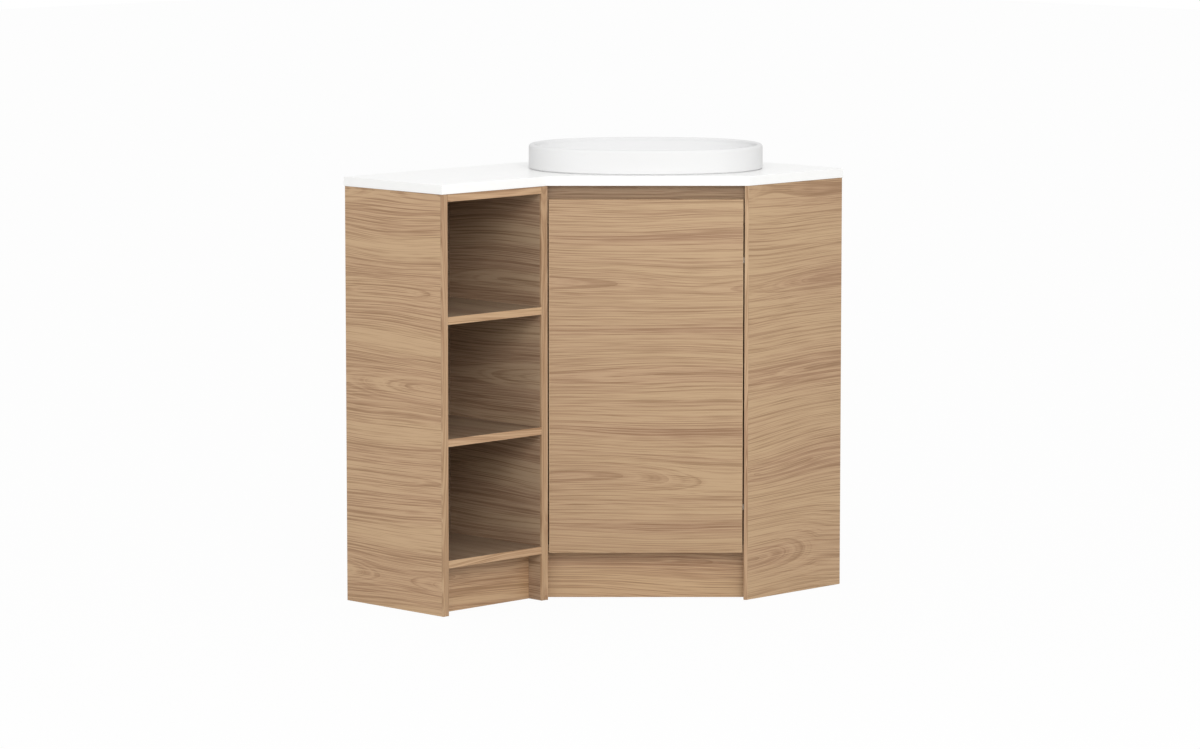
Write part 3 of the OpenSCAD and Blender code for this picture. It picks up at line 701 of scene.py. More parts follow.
def lathe_tree() -> Tree:
    """Builds the tree that turns a profile of radius and height round an upright axis.

    Returns:
        The tree, with inputs Segments, Centre and Material.
    """
    tree, given = new_tree(
        "turned_piece", {"Segments": "NodeSocketInt", "Centre": "NodeSocketVector", "Material": "NodeSocketMaterial"}
    )
    rows = add_node(tree, "GeometryNodeAttributeDomainSize", {"Geometry": given.outputs["Geometry"]})
    columns = calc(tree, "ADD", given.outputs["Segments"], 1.0)
    counts = {"Size X": 1.0, "Size Y": 1.0, "Vertices X": columns, "Vertices Y": rows.outputs[0]}
    grid = add_node(tree, "GeometryNodeMeshGrid", counts)
    place = add_node(tree, "GeometryNodeInputPosition")
    share = add_node(tree, "ShaderNodeSeparateXYZ", {0: place.outputs[0]})
    angle = calc(tree, "MULTIPLY_ADD", share.outputs[0], 2 * math.pi, math.pi)
    last = calc(tree, "SUBTRACT", rows.outputs[0], 1.0)
    row = calc(tree, "MULTIPLY", calc(tree, "ADD", share.outputs[1], 0.5), last)
    index = add_node(tree, "FunctionNodeFloatToInt", {0: row}, rounding_mode="ROUND")
    point = add_node(tree, "GeometryNodeSampleIndex", data_type="FLOAT_VECTOR", domain="POINT")
    tree.links.new(given.outputs["Geometry"], point.inputs["Geometry"])
    tree.links.new(place.outputs[0], point.inputs["Value"])
    tree.links.new(index.outputs[0], point.inputs["Index"])
    outline = add_node(tree, "ShaderNodeSeparateXYZ", {0: point.outputs[0]})
    sides = [calc(tree, "MULTIPLY", calc(tree, turn, angle), outline.outputs[0]) for turn in ("COSINE", "SINE")]
    around = add_node(tree, "ShaderNodeCombineXYZ", {0: sides[0], 1: sides[1], 2: outline.outputs[2]})
    places = {0: around.outputs[0], 1: given.outputs["Centre"]}
    centred = add_node(tree, "ShaderNodeVectorMath", places, operation="ADD")
    laid = {"Geometry": grid.outputs["Mesh"], "Position": centred.outputs[0]}
    turned = add_node(tree, "GeometryNodeSetPosition", laid)
    closed = add_node(tree, "GeometryNodeMergeByDistance", {"Geometry": turned.outputs[0], "Distance": 0.002 * MM})
    end_tree(tree, closed.outputs[0], given.outputs["Material"])
    return tree


def repeat_tree() -> Tree:
    """Builds the tree that puts one fastening at every point of a mesh, turned as the point says.

    Returns:
        The tree, with inputs Piece and Material, which reads the points' "turn" attribute.
    """
    tree, given = new_tree("repeated_fastening", {"Piece": "NodeSocketObject", "Material": "NodeSocketMaterial"})
    pattern = add_node(tree, "GeometryNodeObjectInfo", {"Object": given.outputs["Piece"]})
    turn = add_node(tree, "GeometryNodeInputNamedAttribute", {"Name": "turn"}, data_type="FLOAT_VECTOR")
    rotation = add_node(tree, "FunctionNodeEulerToRotation", {0: turn.outputs[0]})
    copies = add_node(
        tree,
        "GeometryNodeInstanceOnPoints",
        {"Points": given.outputs["Geometry"], "Instance": pattern.outputs["Geometry"], "Rotation": rotation.outputs[0]},
    )
    end_tree(tree, copies.outputs[0], given.outputs["Material"])
    return tree


LATHE = lathe_tree()
REPEAT = repeat_tree()


def arc(centre: tuple[float, float], radius: float, start: float, end: float, steps: int) -> Profile:
    """Lists points on an arc of a profile.

    Args:
        centre: Radius and height of the arc's centre.
        radius: The arc's radius.
        start: First angle in degrees, from outwards, rising.
        end: Last angle in degrees.
        steps: How many pieces the arc has.

    Returns:
        The points.
    """
    angles = [math.radians(start + (end - start) * i / steps) for i in range(steps + 1)]
    return [(centre[0] + radius * math.cos(a), centre[1] + radius * math.sin(a)) for a in angles]


def rounded(corners: Sequence[Triple], closed: bool, steps: int = 5) -> Profile:
    """Rounds the corners of a profile.

    Args:
        corners: Radius, height and rounding of each corner, in order.
        closed: Whether the profile runs back to its first corner.
        steps: Pieces across each rounding.

    Returns:
        The profile's points; the first is repeated at the end of a closed one.
    """
    points: Profile = []
    count = len(corners)
    for i, (r, z, rounding) in enumerate(corners):
        here = Vector((r, z))
        before, after = Vector(corners[i - 1][:2]), Vector(corners[(i + 1) % count][:2])
        if rounding <= 0 or (not closed and i in (0, count - 1)):
            points.append((r, z))
            continue
        back, ahead = (before - here).normalized(), (after - here).normalized()
        half = back.angle(ahead) / 2
        cut = min(rounding / math.tan(half), 0.49 * (before - here).length, 0.49 * (after - here).length)
        radius = cut * math.tan(half)
        middle = here + (back + ahead).normalized() * (radius / math.sin(half))
        first, last = here + back * cut - middle, here + ahead * cut - middle
        sweep = first.angle_signed(last)
        for step in range(steps + 1):
            spoke = first.copy()
            spoke.rotate(Matrix.Rotation(-sweep * step / steps, 2))
            points.append(tuple(middle + spoke))
    return points + points[:1] if closed else points


def turned_mesh(
    profile: Profile, centre: tuple[float, float], material: bpy.types.Material, segments: int = 96
) -> bpy.types.Mesh:
    """Turns a profile into a closed mesh.

    Args:
        profile: Radius and height of each point, in metres, in order.
        centre: Where the upright axis stands.
        material: The piece's material.
        segments: Steps round the axis.

    Returns:
        The mesh, facing outwards.
    """
    line = bpy.data.meshes.new("profile")
    line.from_pydata([(r, 0.0, z) for r, z in profile], [(i, i + 1) for i in range(len(profile) - 1)], [])
    mesh = grown_mesh(line, LATHE, {"Segments": segments, "Centre": (centre[0], centre[1], 0.0), "Material": material})
    shape = bmesh.new()
    shape.from_mesh(mesh)
    bmesh.ops.remove_doubles(shape, verts=shape.verts, dist=0.002 * MM)
    bmesh.ops.recalc_face_normals(shape, faces=shape.faces)
    shape.to_mesh(mesh)
    shape.free()
    mesh.shade_smooth()
    mesh.set_sharp_from_angle(angle=math.radians(50))
    return mesh


@dataclass(frozen=True)
class CrossHeadScrew:
    """A pan-head wood screw with a cross recess, its head's underside at height 0 and its shank below."""

    head_r: float
    head_h: float
    shank_r: float
    length: float

    def pattern(self) -> bpy.types.Object:
        """Builds the screw in millimetres, cuts its recess and scales it to metres.

        Returns:
            The screw, at the origin.
        """
        corners = [(0.0, -self.length, 0.0), (0.45 * self.shank_r, -self.length, 0.0)]
        turn = -self.length + 1.6
        # A 1.4 mm thread, drawn as rings.
        while turn < -1.6:
            corners += [(0.72 * self.shank_r, turn, 0.0), (self.shank_r, turn + 0.7, 0.0)]
            turn += 1.4
        corners += [(0.8 * self.shank_r, -0.9, 0.0), (0.8 * self.shank_r, 0.0, 0.0), (self.head_r, 0.0, 0.0)]
        corners += [(self.head_r, self.head_h, 0.75 * self.head_h), (0.0, self.head_h, 0.0)]
        profile = [(r * MM, z * MM) for r, z in rounded(corners, closed=False, steps=4)]
        screw = bpy.data.objects.new("screw_pattern", turned_mesh(profile, (0.0, 0.0), None, segments=28))
        screw.data.transform(Matrix.Scale(1000.0, 4))
        cutter = bpy.data.objects.new("recess_cutter", self._recess())
        for item in (screw, cutter):
            bpy.context.scene.collection.objects.link(item)
        recess = screw.modifiers.new("recess", "BOOLEAN")
        recess.operation, recess.object, recess.solver = "DIFFERENCE", cutter, "EXACT"
        mesh = bpy.data.meshes.new_from_object(screw.evaluated_get(bpy.context.evaluated_depsgraph_get()))
        screw.modifiers.clear()
        mesh.transform(Matrix.Scale(MM, 4))
        mesh.set_sharp_from_angle(angle=math.radians(35))
        screw.data = mesh
        bpy.data.objects.remove(cutter)
        return screw

    def _recess(self) -> bpy.types.Mesh:
        """Builds the tapered cross that cuts the recess, in millimetres.

        Returns:
            Its mesh.
        """
        shape = bmesh.new()
        thick = 0.12 * self.head_r
        layers = []
        for height, reach in ((0.15 * self.head_h, 0.3 * self.head_r), (self.head_h + 0.5, 0.66 * self.head_r)):
            quarter = [(reach, -thick), (reach, thick), (thick, thick)]
            turns = [Matrix.Rotation(turn * math.pi / 2, 2) for turn in range(4)]
            outline = [turn @ Vector(corner) for turn in turns for corner in quarter]
            layers.append([shape.verts.new((x, y, height)) for x, y in outline])
        low, high = layers
        shape.faces.new(reversed(low))
        shape.faces.new(high)
        for i in range(len(low)):
            j = (i + 1) % len(low)
            shape.faces.new((low[i], low[j], high[j], high[i]))
        mesh = bpy.data.meshes.new("recess")
        bmesh.ops.recalc_face_normals(shape, faces=shape.faces)
        shape.to_mesh(mesh)
        shape.free()
        return mesh


@dataclass(frozen=True)
class FastenerPlace:
    """Where a fastening of a CAD node sits: the underside of its head, its direction and its sizes in millimetres."""

    seat: Vector
    up: Vector
    head_r: float
    head_h: float
    shank_r: float
    length: float


def fastener_places(node: str) -> list[FastenerPlace]:
    """Reads the screws of a CAD node: each solid is a head on a shank.

    Args:
        node: The node's name.

    Returns:
        One place for each screw.
    """
    shape = merged_copy(node)
    left = set(shape.verts)
    places = []
    while left:
        island, edge = set(), [left.pop()]
        while edge:
            vert = edge.pop()
            island.add(vert)
            edge += [v for link in vert.link_edges for v in link.verts if v in left]
            left.difference_update(edge)
        points = [v.co.copy() for v in island]
        middle = sum(points, Vector()) / len(points)
        axis = _long_axis(points)
        heights = sorted({round((p - middle).dot(axis), 5) for p in points})
        radius = {h: 0.0 for h in heights}
        low, high = heights[0], heights[-1]
        centre = _axis_point(points, axis)
        for p in points:
            h = min(heights, key=lambda value: abs(value - (p - middle).dot(axis)))
            radius[h] = max(radius[h], ((p - centre) - axis * (p - centre).dot(axis)).length)
        if radius[low] > radius[high]:
            axis, low, high = -axis, -high, -low
            radius = {-h: r for h, r in radius.items()}
        head = radius[high]
        seat = min(h for h, r in radius.items() if r > 0.95 * head)
        foot = centre + axis * ((middle - centre).dot(axis) + seat)
        places.append(
            FastenerPlace(foot, axis, head / MM, (high - seat) / MM, radius[low] / MM, (seat - low) / MM)
        )
    shape.free()
    return places


def _long_axis(points: Sequence[Vector]) -> Vector:
    """Gives the one of the room's and the door's axes round which a turned solid is slimmest.

    Args:
        points: The solid's points.

    Returns:
        The axis.
    """
    half = HALF_ROOT
    ways = ((1, 0, 0), (0, 1, 0), (0, 0, 1), (half, half, 0), (half, -half, 0))
    choices = [Vector(way) for way in ways]

    def girth(axis: Vector) -> float:
        """Largest distance of a point from the axis."""
        centre = _axis_point(points, axis)
        return max((p - centre - axis * (p - centre).dot(axis)).length for p in points)

    return min(choices, key=girth)


def _axis_point(points: Sequence[Vector], axis: Vector) -> Vector:
    """Gives a point on the axis of a round solid: the middle of its box across the axis.

    Args:
        points: The solid's points.
        axis: Its axis.

    Returns:
        The point.
    """
    side = axis.orthogonal().normalized()
    other = axis.cross(side)
    centre = Vector()
    for direction in (side, other):
        reach = [p.dot(direction) for p in points]
        centre += direction * (max(reach) + min(reach)) / 2
    return centre


# ------------------------------------------------------------------ the vanity's pieces


@dataclass(frozen=True)
class Board:
    """A board of the carcass or the door: its CAD node, with eased edges and its decor."""

    node: str
    slot: str
    face: OakDecor
    raw_edges: bool = True
    body: str = "cabinet"
    ease_mm: float = 0.5
    front: Optional[Triple] = None
    lining_or_painted_shade: Optional[OakDecor] = None
    lined_or_shaded_side: Triple = (0, 0, 0)

    def build(self, store: FinishStore) -> bpy.types.Object:
        """Builds the board; edges that were only sawn show the chips of its core.

        Args:
            store: Where the finishes come from.

        Returns:
            The piece.
        """
        shape = merged_copy(self.node)
        ease_edges(shape, self.ease_mm * MM, front=Vector(self.front) if self.front else None)
        mesh = finished_mesh(shape)
        finishes = [store.get(self.face)]
        if self.raw_edges:
            finishes.append(store.get(CORE))
            through = self.face.grain.through
            for face in mesh.polygons:
                face.material_index = int(abs(face.normal.dot(through)) < 0.6)
        # A second decor on the faces that look one way: the real edge band on the cabinet base's front, and painted
        # shade on the faces turned into the bays.
        if self.lining_or_painted_shade:
            finishes.append(store.get(self.lining_or_painted_shade))
            for face in mesh.polygons:
                if face.normal.dot(Vector(self.lined_or_shaded_side)) > 0.9:
                    face.material_index = len(finishes) - 1
        piece = new_piece(self.node + "_board", mesh, self.body, finishes, [self.node])
        return weigh_normals(piece)


@dataclass(frozen=True)
class Fastenings:
    """The screws of one CAD node, each with a recessed head."""

    node: str
    body: str
    finish: TintedFinish = SCREW_STEEL

    def build(self, store: FinishStore) -> bpy.types.Object:
        """Builds one screw for each length and repeats it at its places.

        Args:
            store: Where the finish comes from.

        Returns:
            The piece.
        """
        groups: dict[tuple[float, ...], list[FastenerPlace]] = {}
        for place in fastener_places(self.node):
            key = (round(place.head_r, 1), round(place.head_h, 1), round(place.shank_r, 1), round(place.length, 1))
            groups.setdefault(key, []).append(place)
        whole = bmesh.new()
        for sizes, places in groups.items():
            pattern = CrossHeadScrew(*sizes).pattern()
            points = bpy.data.meshes.new("screw_points")
            points.from_pydata([tuple(p.seat) for p in places], [], [])
            turns = points.attributes.new("turn", "FLOAT_VECTOR", "POINT")
            for item, place in zip(turns.data, places):
                item.vector = place.up.to_track_quat("Z", "Y").to_euler()
            mesh = grown_mesh(points, REPEAT, {"Piece": pattern, "Material": store.get(self.finish)})
            bpy.data.objects.remove(pattern)
            whole.from_mesh(mesh)
        mesh = finished_mesh(whole, 35)
        return new_piece(self.node + "_turned", mesh, self.body, [store.get(self.finish)], [self.node])


@dataclass(frozen=True)
class Pressing:
    """A small metal piece whose CAD shape is right, with its edges broken."""

    node: str
    slot: str
    finish: TintedFinish
    body: str = "cabinet"
    ease_mm: float = 0.25
    shortest_mm: float = 2.0

    def build(self, store: FinishStore) -> bpy.types.Object:
        """Builds the pressing.

        Args:
            store: Where the finish comes from.

        Returns:
            The piece.
        """
        shape = merged_copy(self.node)
        ease_edges(shape, self.ease_mm * MM, self.shortest_mm * MM, steps=2)
        mesh = finished_mesh(shape, 35)
        piece = new_piece(self.node + "_piece", mesh, self.body, [store.get(self.finish)], [self.node])
        return weigh_normals(piece)


@dataclass
class OpenShelfUnit:
    """The three open bays at the left, with the panels that carry them."""

    store: FinishStore
    boards: list[Board] = field(
        default_factory=lambda: [
            Board("left_end_panel", "oak_board", OAK_SIDE, lining_or_painted_shade=OAK_BAY_SIDES_PAINTED_SHADE, lined_or_shaded_side=(1, 0, 0)),
            Board("left_panel_lipping", "oak_lipping", OAK_LIPPING, False, ease_mm=0.8, front=(0, -1, 0)),
            Board("divider_panel", "oak_board", OAK_SIDE, lining_or_painted_shade=OAK_BAY_SIDES_PAINTED_SHADE, lined_or_shaded_side=(-1, 0, 0)),
            Board("divider_lipping", "oak_lipping", OAK_LIPPING, False, ease_mm=0.8, front=(0, -1, 0)),
            Board("shelf_unit_base", "oak_board", OAK_SHELF_PAINTED_SHADE),
            Board("lower_shelf", "oak_board", OAK_SHELF_PAINTED_SHADE),
            Board("upper_shelf", "oak_board", OAK_SHELF_PAINTED_SHADE),
            Board("shelf_unit_top", "oak_board", OAK_SHELF_PAINTED_SHADE),
            Board("shelf_edge_bands", "oak_edge_band", OAK_BAND_LONG, False, ease_mm=0.4, front=(0, -1, 0)),
            Board("shelf_unit_back", "oak_interior_board", OAK_INSIDE_LONG, lining_or_painted_shade=OAK_BAY_BACK_PAINTED_SHADE, lined_or_shaded_side=(0, -1, 0)),
            Board("shelf_unit_kickboard", "oak_board", OAK_KICK_LONG),
        ]
    )

    def build(self) -> list[bpy.types.Object]:
        """Builds every board of the shelves."""
        return [board.build(self.store) for board in self.boards]


@dataclass
class CornerCabinet:
    """The cupboard behind the door: panels, rails, floor, post and what joins them."""

    store: FinishStore
    boards: list[Board] = field(
        default_factory=lambda: [
            Board("right_end_panel", "oak_board", OAK_LONG),
            Board(
                "right_panel_edge_band",
                "oak_lipping",
                OAK_BAND_UPRIGHT,
                False,
                ease_mm=0.3,
                front=(-0.7071, -0.7071, 0),
            ),
            Board(
                "cabinet_base",
                "oak_interior_board",
                OAK_INSIDE_FLAT,
                lining_or_painted_shade=OAK_BAND_DOOR,
                lined_or_shaded_side=(-0.7071, -0.7071, 0),
            ),
            Board("door_side_kickboard", "oak_board", OAK_KICK_DOOR),
            Board("finger_pull_rail", "oak_board", OAK_RAIL_PAINTED_SHADE, False),
            Board("long_wall_top_rail", "oak_interior_board", OAK_INSIDE_LONG),
            Board("long_wall_back_panel", "oak_interior_board", OAK_INSIDE_LONG),
            Board("short_wall_top_rail", "oak_interior_board", OAK_INSIDE_SHORT),
            Board("short_wall_back_panel", "oak_interior_board", OAK_INSIDE_SHORT),
            Board("corner_post", "oak_interior_board", OAK_BAND_UPRIGHT, False),
        ]
    )
    brackets: Pressing = Pressing("benchtop_brackets", "zinc_plated_steel", ZINC)
    screws: Fastenings = Fastenings("bracket_screws", "cabinet")
    hinge_metal: tuple[Pressing, ...] = (
        Pressing("hinge_arms", "nickel_plated_steel", NICKEL),
        Pressing("hinge_plates", "nickel_plated_steel", NICKEL),
    )
    hinge_screws: Fastenings = Fastenings("hinge_plate_screws", "cabinet")

    def build(self) -> list[bpy.types.Object]:
        """Builds the boards, the metal and the screws, and dresses the dowels.

        Returns:
            The pieces.
        """
        pieces = [board.build(self.store) for board in self.boards]
        pieces += [metal.build(self.store) for metal in (self.brackets, *self.hinge_metal)]
        pieces += [self.screws.build(self.store), self.hinge_screws.build(self.store)]
        pieces.append(dress_node("carcass_dowels", self.store.get(BEECH)))
        return pieces


@dataclass
class HangingDoor:
    """The door with its edge bands, bumpers and the hinge parts that swing with it."""

    store: FinishStore
    ease_mm: float = 0.4
    bumper_round_mm: float = 1.4
    leaf: Board = Board("door", "oak_board", OAK_DOOR, body="door", ease_mm=0.0)
    cups: Pressing = Pressing("hinge_cups", "nickel_plated_steel", NICKEL, "door")
    links: Pressing = Pressing("hinge_links", "nickel_plated_steel", NICKEL, "hinge_link_pair")
    cup_screws: Fastenings = Fastenings("hinge_cup_screws", "door")

    def build(self) -> list[bpy.types.Object]:
        """Builds the leaf, its edging, the hinges' moving metal and the bumpers.

        Returns:
            The pieces.
        """
        pieces = [self._leaf(), self._edge_bands(), self._bumpers()]
        pieces += [self.cups.build(self.store), self.links.build(self.store), self.cup_screws.build(self.store)]
        return pieces

    def _leaf(self) -> bpy.types.Object:
        """Builds the leaf; its edges lie under the bands and stay square."""
        mesh = finished_mesh(merged_copy(self.leaf.node), 30)
        return new_piece("door_leaf", mesh, "door", [self.store.get(OAK_DOOR)], ["door"])

    def _edge_bands(self) -> bpy.types.Object:
        """Builds the ring of edge band, its grain running along each edge, its outer arrises eased.

        Returns:
            The piece.
        """
        shape = merged_copy("door_edge_bands")
        low, high = (Vector(corner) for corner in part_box("door_edge_bands"))
        middle = (low + high) / 2
        outer = [face for face in shape.faces if (face.calc_center_median() - middle).dot(face.normal) > 10 * MM]
        arrises = [edge for face in outer for edge in face.edges if edge.calc_face_angle(0.0) > math.radians(50)]
        bmesh.ops.bevel(
            shape,
            geom=list(set(arrises)),
            offset=self.ease_mm * MM,
            segments=3,
            profile=0.5,
            affect="EDGES",
            loop_slide=False,
        )
        mesh = finished_mesh(shape)
        for face in mesh.polygons:
            face.material_index = int(low[2] + 2 * MM < face.center[2] < high[2] - 2 * MM)
        finishes = [self.store.get(OAK_BAND_DOOR), self.store.get(OAK_BAND_UPRIGHT)]
        return weigh_normals(new_piece("door_edging", mesh, "door", finishes, ["door_edge_bands"]))

    def _bumpers(self) -> bpy.types.Object:
        """Builds the clear domed bumpers where the CAD node has its pads.

        Returns:
            The piece.
        """
        pads = fastener_places_of_pads("door_bumpers")
        material = self.store.get(POLYURETHANE)
        height, radius = pads[0].head_h * MM, pads[0].head_r * MM
        corners = [(0.0, 0.0, 0.0), (radius, 0.0, 0.1 * MM)]
        corners += [(radius, height, self.bumper_round_mm * MM), (0.0, height, 0.0)]
        pattern = bpy.data.objects.new("bumper_pattern", turned_mesh(rounded(corners, False), (0.0, 0.0), material, 40))
        bpy.context.scene.collection.objects.link(pattern)
        points = bpy.data.meshes.new("bumper_points")
        points.from_pydata([tuple(p.seat) for p in pads], [], [])
        turns = points.attributes.new("turn", "FLOAT_VECTOR", "POINT")
        for item, pad in zip(turns.data, pads):
            item.vector = pad.up.to_track_quat("Z", "Y").to_euler()
        mesh = grown_mesh(points, REPEAT, {"Piece": pattern, "Material": material})
        bpy.data.objects.remove(pattern)
        mesh.shade_smooth()
        return new_piece("domed_bumpers", mesh, "door", [], ["door_bumpers"])


def fastener_places_of_pads(node: str) -> list[FastenerPlace]:
    """Reads the round pads of a CAD node that stand on the door's inner face.

    Args:
        node: The node's name.

    Returns:
        One place for each pad, its foot on the door.
    """
    half = HALF_ROOT
    inwards, along = Vector((half, half, 0)), Vector((half, -half, 0))
    shape = merged_copy(node)
    heights: dict[bool, list[Vector]] = {False: [], True: []}
    low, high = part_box(node)
    for vert in shape.verts:
        heights[vert.co.z > (low[2] + high[2]) / 2].append(vert.co.copy())
    shape.free()
    pads = []
    for points in heights.values():
        depth = [p.dot(inwards) for p in points]
        side = [p.dot(along) for p in points]
        level = [p.z for p in points]
        centre = along * (max(side) + min(side)) / 2 + Vector((0, 0, (max(level) + min(level)) / 2))
        foot = centre + inwards * min(depth)
        radius = (max(level) - min(level)) / 2
        pads.append(FastenerPlace(foot, inwards, radius / MM, (max(depth) - min(depth)) / MM, 0.0, 0.0))
    return pads


@dataclass
class Benchtop:
    """The white top, cut out for the basin."""

    store: FinishStore
    ease_mm: float = 1.2

    def build(self) -> list[bpy.types.Object]:
        """Builds the top with its arrises softened, as solid surface is sanded.

        Returns:
            The slab, alone in a list.
        """
        shape = merged_copy("benchtop")
        ease_edges(shape, self.ease_mm * MM, 20 * MM, steps=4)
        mesh = finished_mesh(shape)
        finishes = [self.store.get(SOLID_SURFACE)]
        slab = new_piece("benchtop_slab", mesh, "cabinet", finishes, ["benchtop"])
        return [weigh_normals(slab)]


@dataclass
class BasinWithWaste:
    """The oval basin, its seal and its pop-up waste; sizes in millimetres, as in the part's source."""

    store: FinishStore
    centre: tuple[float, float] = (155.5, 5.0)
    half_long: float = 250.0
    half_wide: float = 194.0
    rings_in: float = 120.0
    seat_z: float = 902.0
    rim_z: float = 952.0
    rim_round: float = 6.0
    lip_round: float = 4.5
    wall: float = 12.0
    cove_in: float = 176.0
    bowl_depth: float = 128.0
    bowl_lip: float = 8.0
    under_wall: float = 8.0
    under_in: float = 24.0
    boss_r: float = 36.0
    boss_z: float = 802.0
    recess_r: float = 33.5
    recess_z: float = 820.0
    hole_r: float = 22.45
    seal_out: float = 3.0
    seal_in: float = 15.0
    bench_z: float = 900.0
    flange_r: float = 32.0
    flange_z: float = 821.5
    flange_top: float = 824.0
    tail_r: float = 20.95
    bore_r: float = 18.75
    tail_z: float = 740.0
    groove_z: float = 787.5
    groove_h: float = 1.5
    groove_t: float = 0.6
    thread_pitch: float = 2.309
    thread_depth: float = 0.8
    plug_r: float = 28.0
    plug_z: float = 825.2
    plug_t: float = 3.5
    plug_dome_r: float = 120.0
    stem_r: float = 4.0
    stem_len: float = 24.0
    washer_z: float = 798.0
    nut_r: float = 31.0

    def build(self) -> list[bpy.types.Object]:
        """Builds the basin and everything in its waste hole.

        Returns:
            The pieces.
        """
        pieces = [self._basin(), self._seal(), self._waste(), self._flange_seal(), self._washer(), self._plug()]
        pieces.append(Pressing("waste_backnut", "chrome_plate", CHROME, ease_mm=0.8).build(self.store))
        pieces.append(Pressing("plug_cartridge", "cartridge_brass", BRASS, ease_mm=0.3).build(self.store))
        return pieces

    def _turned(
        self,
        name: str,
        profile: Profile,
        node: str,
        slot: str,
        finish: TintedFinish,
        body: str = "cabinet",
        segments: int = 96,
        oval: bool = False,
    ) -> bpy.types.Object:
        """Turns a profile in millimetres round the basin's axis.

        Args:
            name: The piece's name.
            profile: Radius and height of each point.
            node: The CAD node that it stands for.
            slot: Its material slot, not used.
            finish: Its finish.
            body: The body that it rides on.
            segments: Steps round the axis.
            oval: Whether the profile's outer part runs round the oval.

        Returns:
            The piece.
        """
        metres = [(r * MM, z * MM) for r, z in profile]
        centre = (self.centre[0] * MM, self.centre[1] * MM)
        mesh = turned_mesh(metres, centre, self.store.get(finish), segments)
        if oval:
            for vert in mesh.vertices:
                vert.co = self._on_oval(vert.co)
        return new_piece(name, mesh, body, [], [node])

    @property
    def _cove_r(self) -> float:
        """Gives the radius of the bowl's cove."""
        wide, high = self.cove_in - self.wall, self.bowl_depth - self.bowl_lip
        return (wide**2 + high**2) / (2 * high)

    @property
    def _centres(self) -> tuple[float, float]:
        """Gives how far the centres of the end arcs and of the side arcs are from the basin's centre."""
        longer = self.half_long - self.half_wide
        return 1.25 * longer, 3.0 * longer

    def _oval_point(self, turn: float, inset: float) -> tuple[float, float]:
        """Finds a point on the oval, which is four arcs that run into each other.

        Args:
            turn: Direction in which the outline faces there, from the long axis.
            inset: Distance inside the outline.

        Returns:
            The point along and across the oval.
        """
        end_x, side_y = self._centres
        along, across = math.cos(turn), math.sin(turn)
        if abs(across) * end_x < abs(along) * side_y:
            radius = self.half_long - end_x - inset
            return math.copysign(end_x, along) + radius * along, radius * across
        radius = self.half_wide + side_y - inset
        return radius * along, radius * across - math.copysign(side_y, across)

    def _rise(self, inset: float) -> float:
        """Gives how far the bowl has risen above its floor at a distance inside the outline."""
        return self._cove_r - math.sqrt(self._cove_r**2 - max(0.0, self.cove_in - inset) ** 2)

    def _on_oval(self, place: Vector) -> Vector:
        """Moves a point of a turned shape on to the oval.

        Near the waste its rings turn by degrees from ovals into circles and keep to the bowl's surface.

        Args:
            place: The point in metres. Its radius is the oval's half length where it lies on the outline.

        Returns:
            Its new place. A point inside the waste's boss stays where it is.
        """
        x, y = place.x / MM - self.centre[0], place.y / MM - self.centre[1]
        radius = math.hypot(x, y)
        if radius < self.boss_r + 1:
            return place
        turn = math.atan2(y, x) + math.pi / 4
        inset = self.half_long - radius
        along, across = self._oval_point(turn, min(inset, self.rings_in))
        rise = 0.0
        if inset > self.rings_in:
            share = (radius - self.boss_r) / (self.half_long - self.rings_in - self.boss_r)
            along = along * share + self.boss_r * math.cos(turn) * (1 - share)
            across = across * share + self.boss_r * math.sin(turn) * (1 - share)
            end_x, side_y = self._centres
            if (abs(along) - end_x) * side_y > abs(across) * end_x:
                here = self.half_long - end_x - math.hypot(abs(along) - end_x, across)
            else:
                here = self.half_wide + side_y - math.hypot(along, abs(across) + side_y)
            rise = self._rise(here) - self._rise(inset)
        half = HALF_ROOT
        x, y = half * (along + across), half * (across - along)
        return Vector(((self.centre[0] + x) * MM, (self.centre[1] + y) * MM, place.z + rise * MM))

    def _basin(self) -> bpy.types.Object:
        """Builds the basin: an upright wall, a narrow rounded rim and a cove down to a level floor.

        Returns:
            The piece.
        """
        cove_r = self._cove_r
        cove = (self.half_long - self.cove_in, self.rim_z - self.bowl_depth + cove_r)
        bowl = arc(cove, cove_r, -math.degrees(math.acos((self.cove_in - self.wall) / cove_r)), -90, 32)
        out_r = self.half_long - self.under_in
        under_r = cove_r + self.under_wall
        under = arc(cove, under_r, -90, -math.degrees(math.acos((out_r - cove[0]) / under_r)), 24)
        corners = [(self.hole_r, self.boss_z, 0.8), (self.boss_r, self.boss_z, 2.0), (self.boss_r, under[0][1], 0.0)]
        corners += [(r, under[0][1], 0.0) for r in (46.0, 58.0)]
        corners += [(r, z, 0.0) for r, z in under]
        corners += [(out_r, self.seat_z, 2.0), (self.half_long, self.seat_z, 1.5)]
        corners += [(self.half_long, self.rim_z, self.rim_round), (bowl[0][0], self.rim_z, self.lip_round)]
        corners += [(*bowl[0], 7.0)] + [(r, z, 0.0) for r, z in bowl[1:]]
        corners += [(r, bowl[-1][1], 0.0) for r in (58.0, 46.0)]
        corners += [(self.recess_r, bowl[-1][1], 1.5), (self.recess_r, self.recess_z, 1.0)]
        corners += [(self.hole_r, self.recess_z, 1.0)]
        profile = rounded(corners, closed=True, steps=6)
        return self._turned("basin_glazed", profile, "basin", "white_glaze", CHINA_GLAZE, segments=256, oval=True)

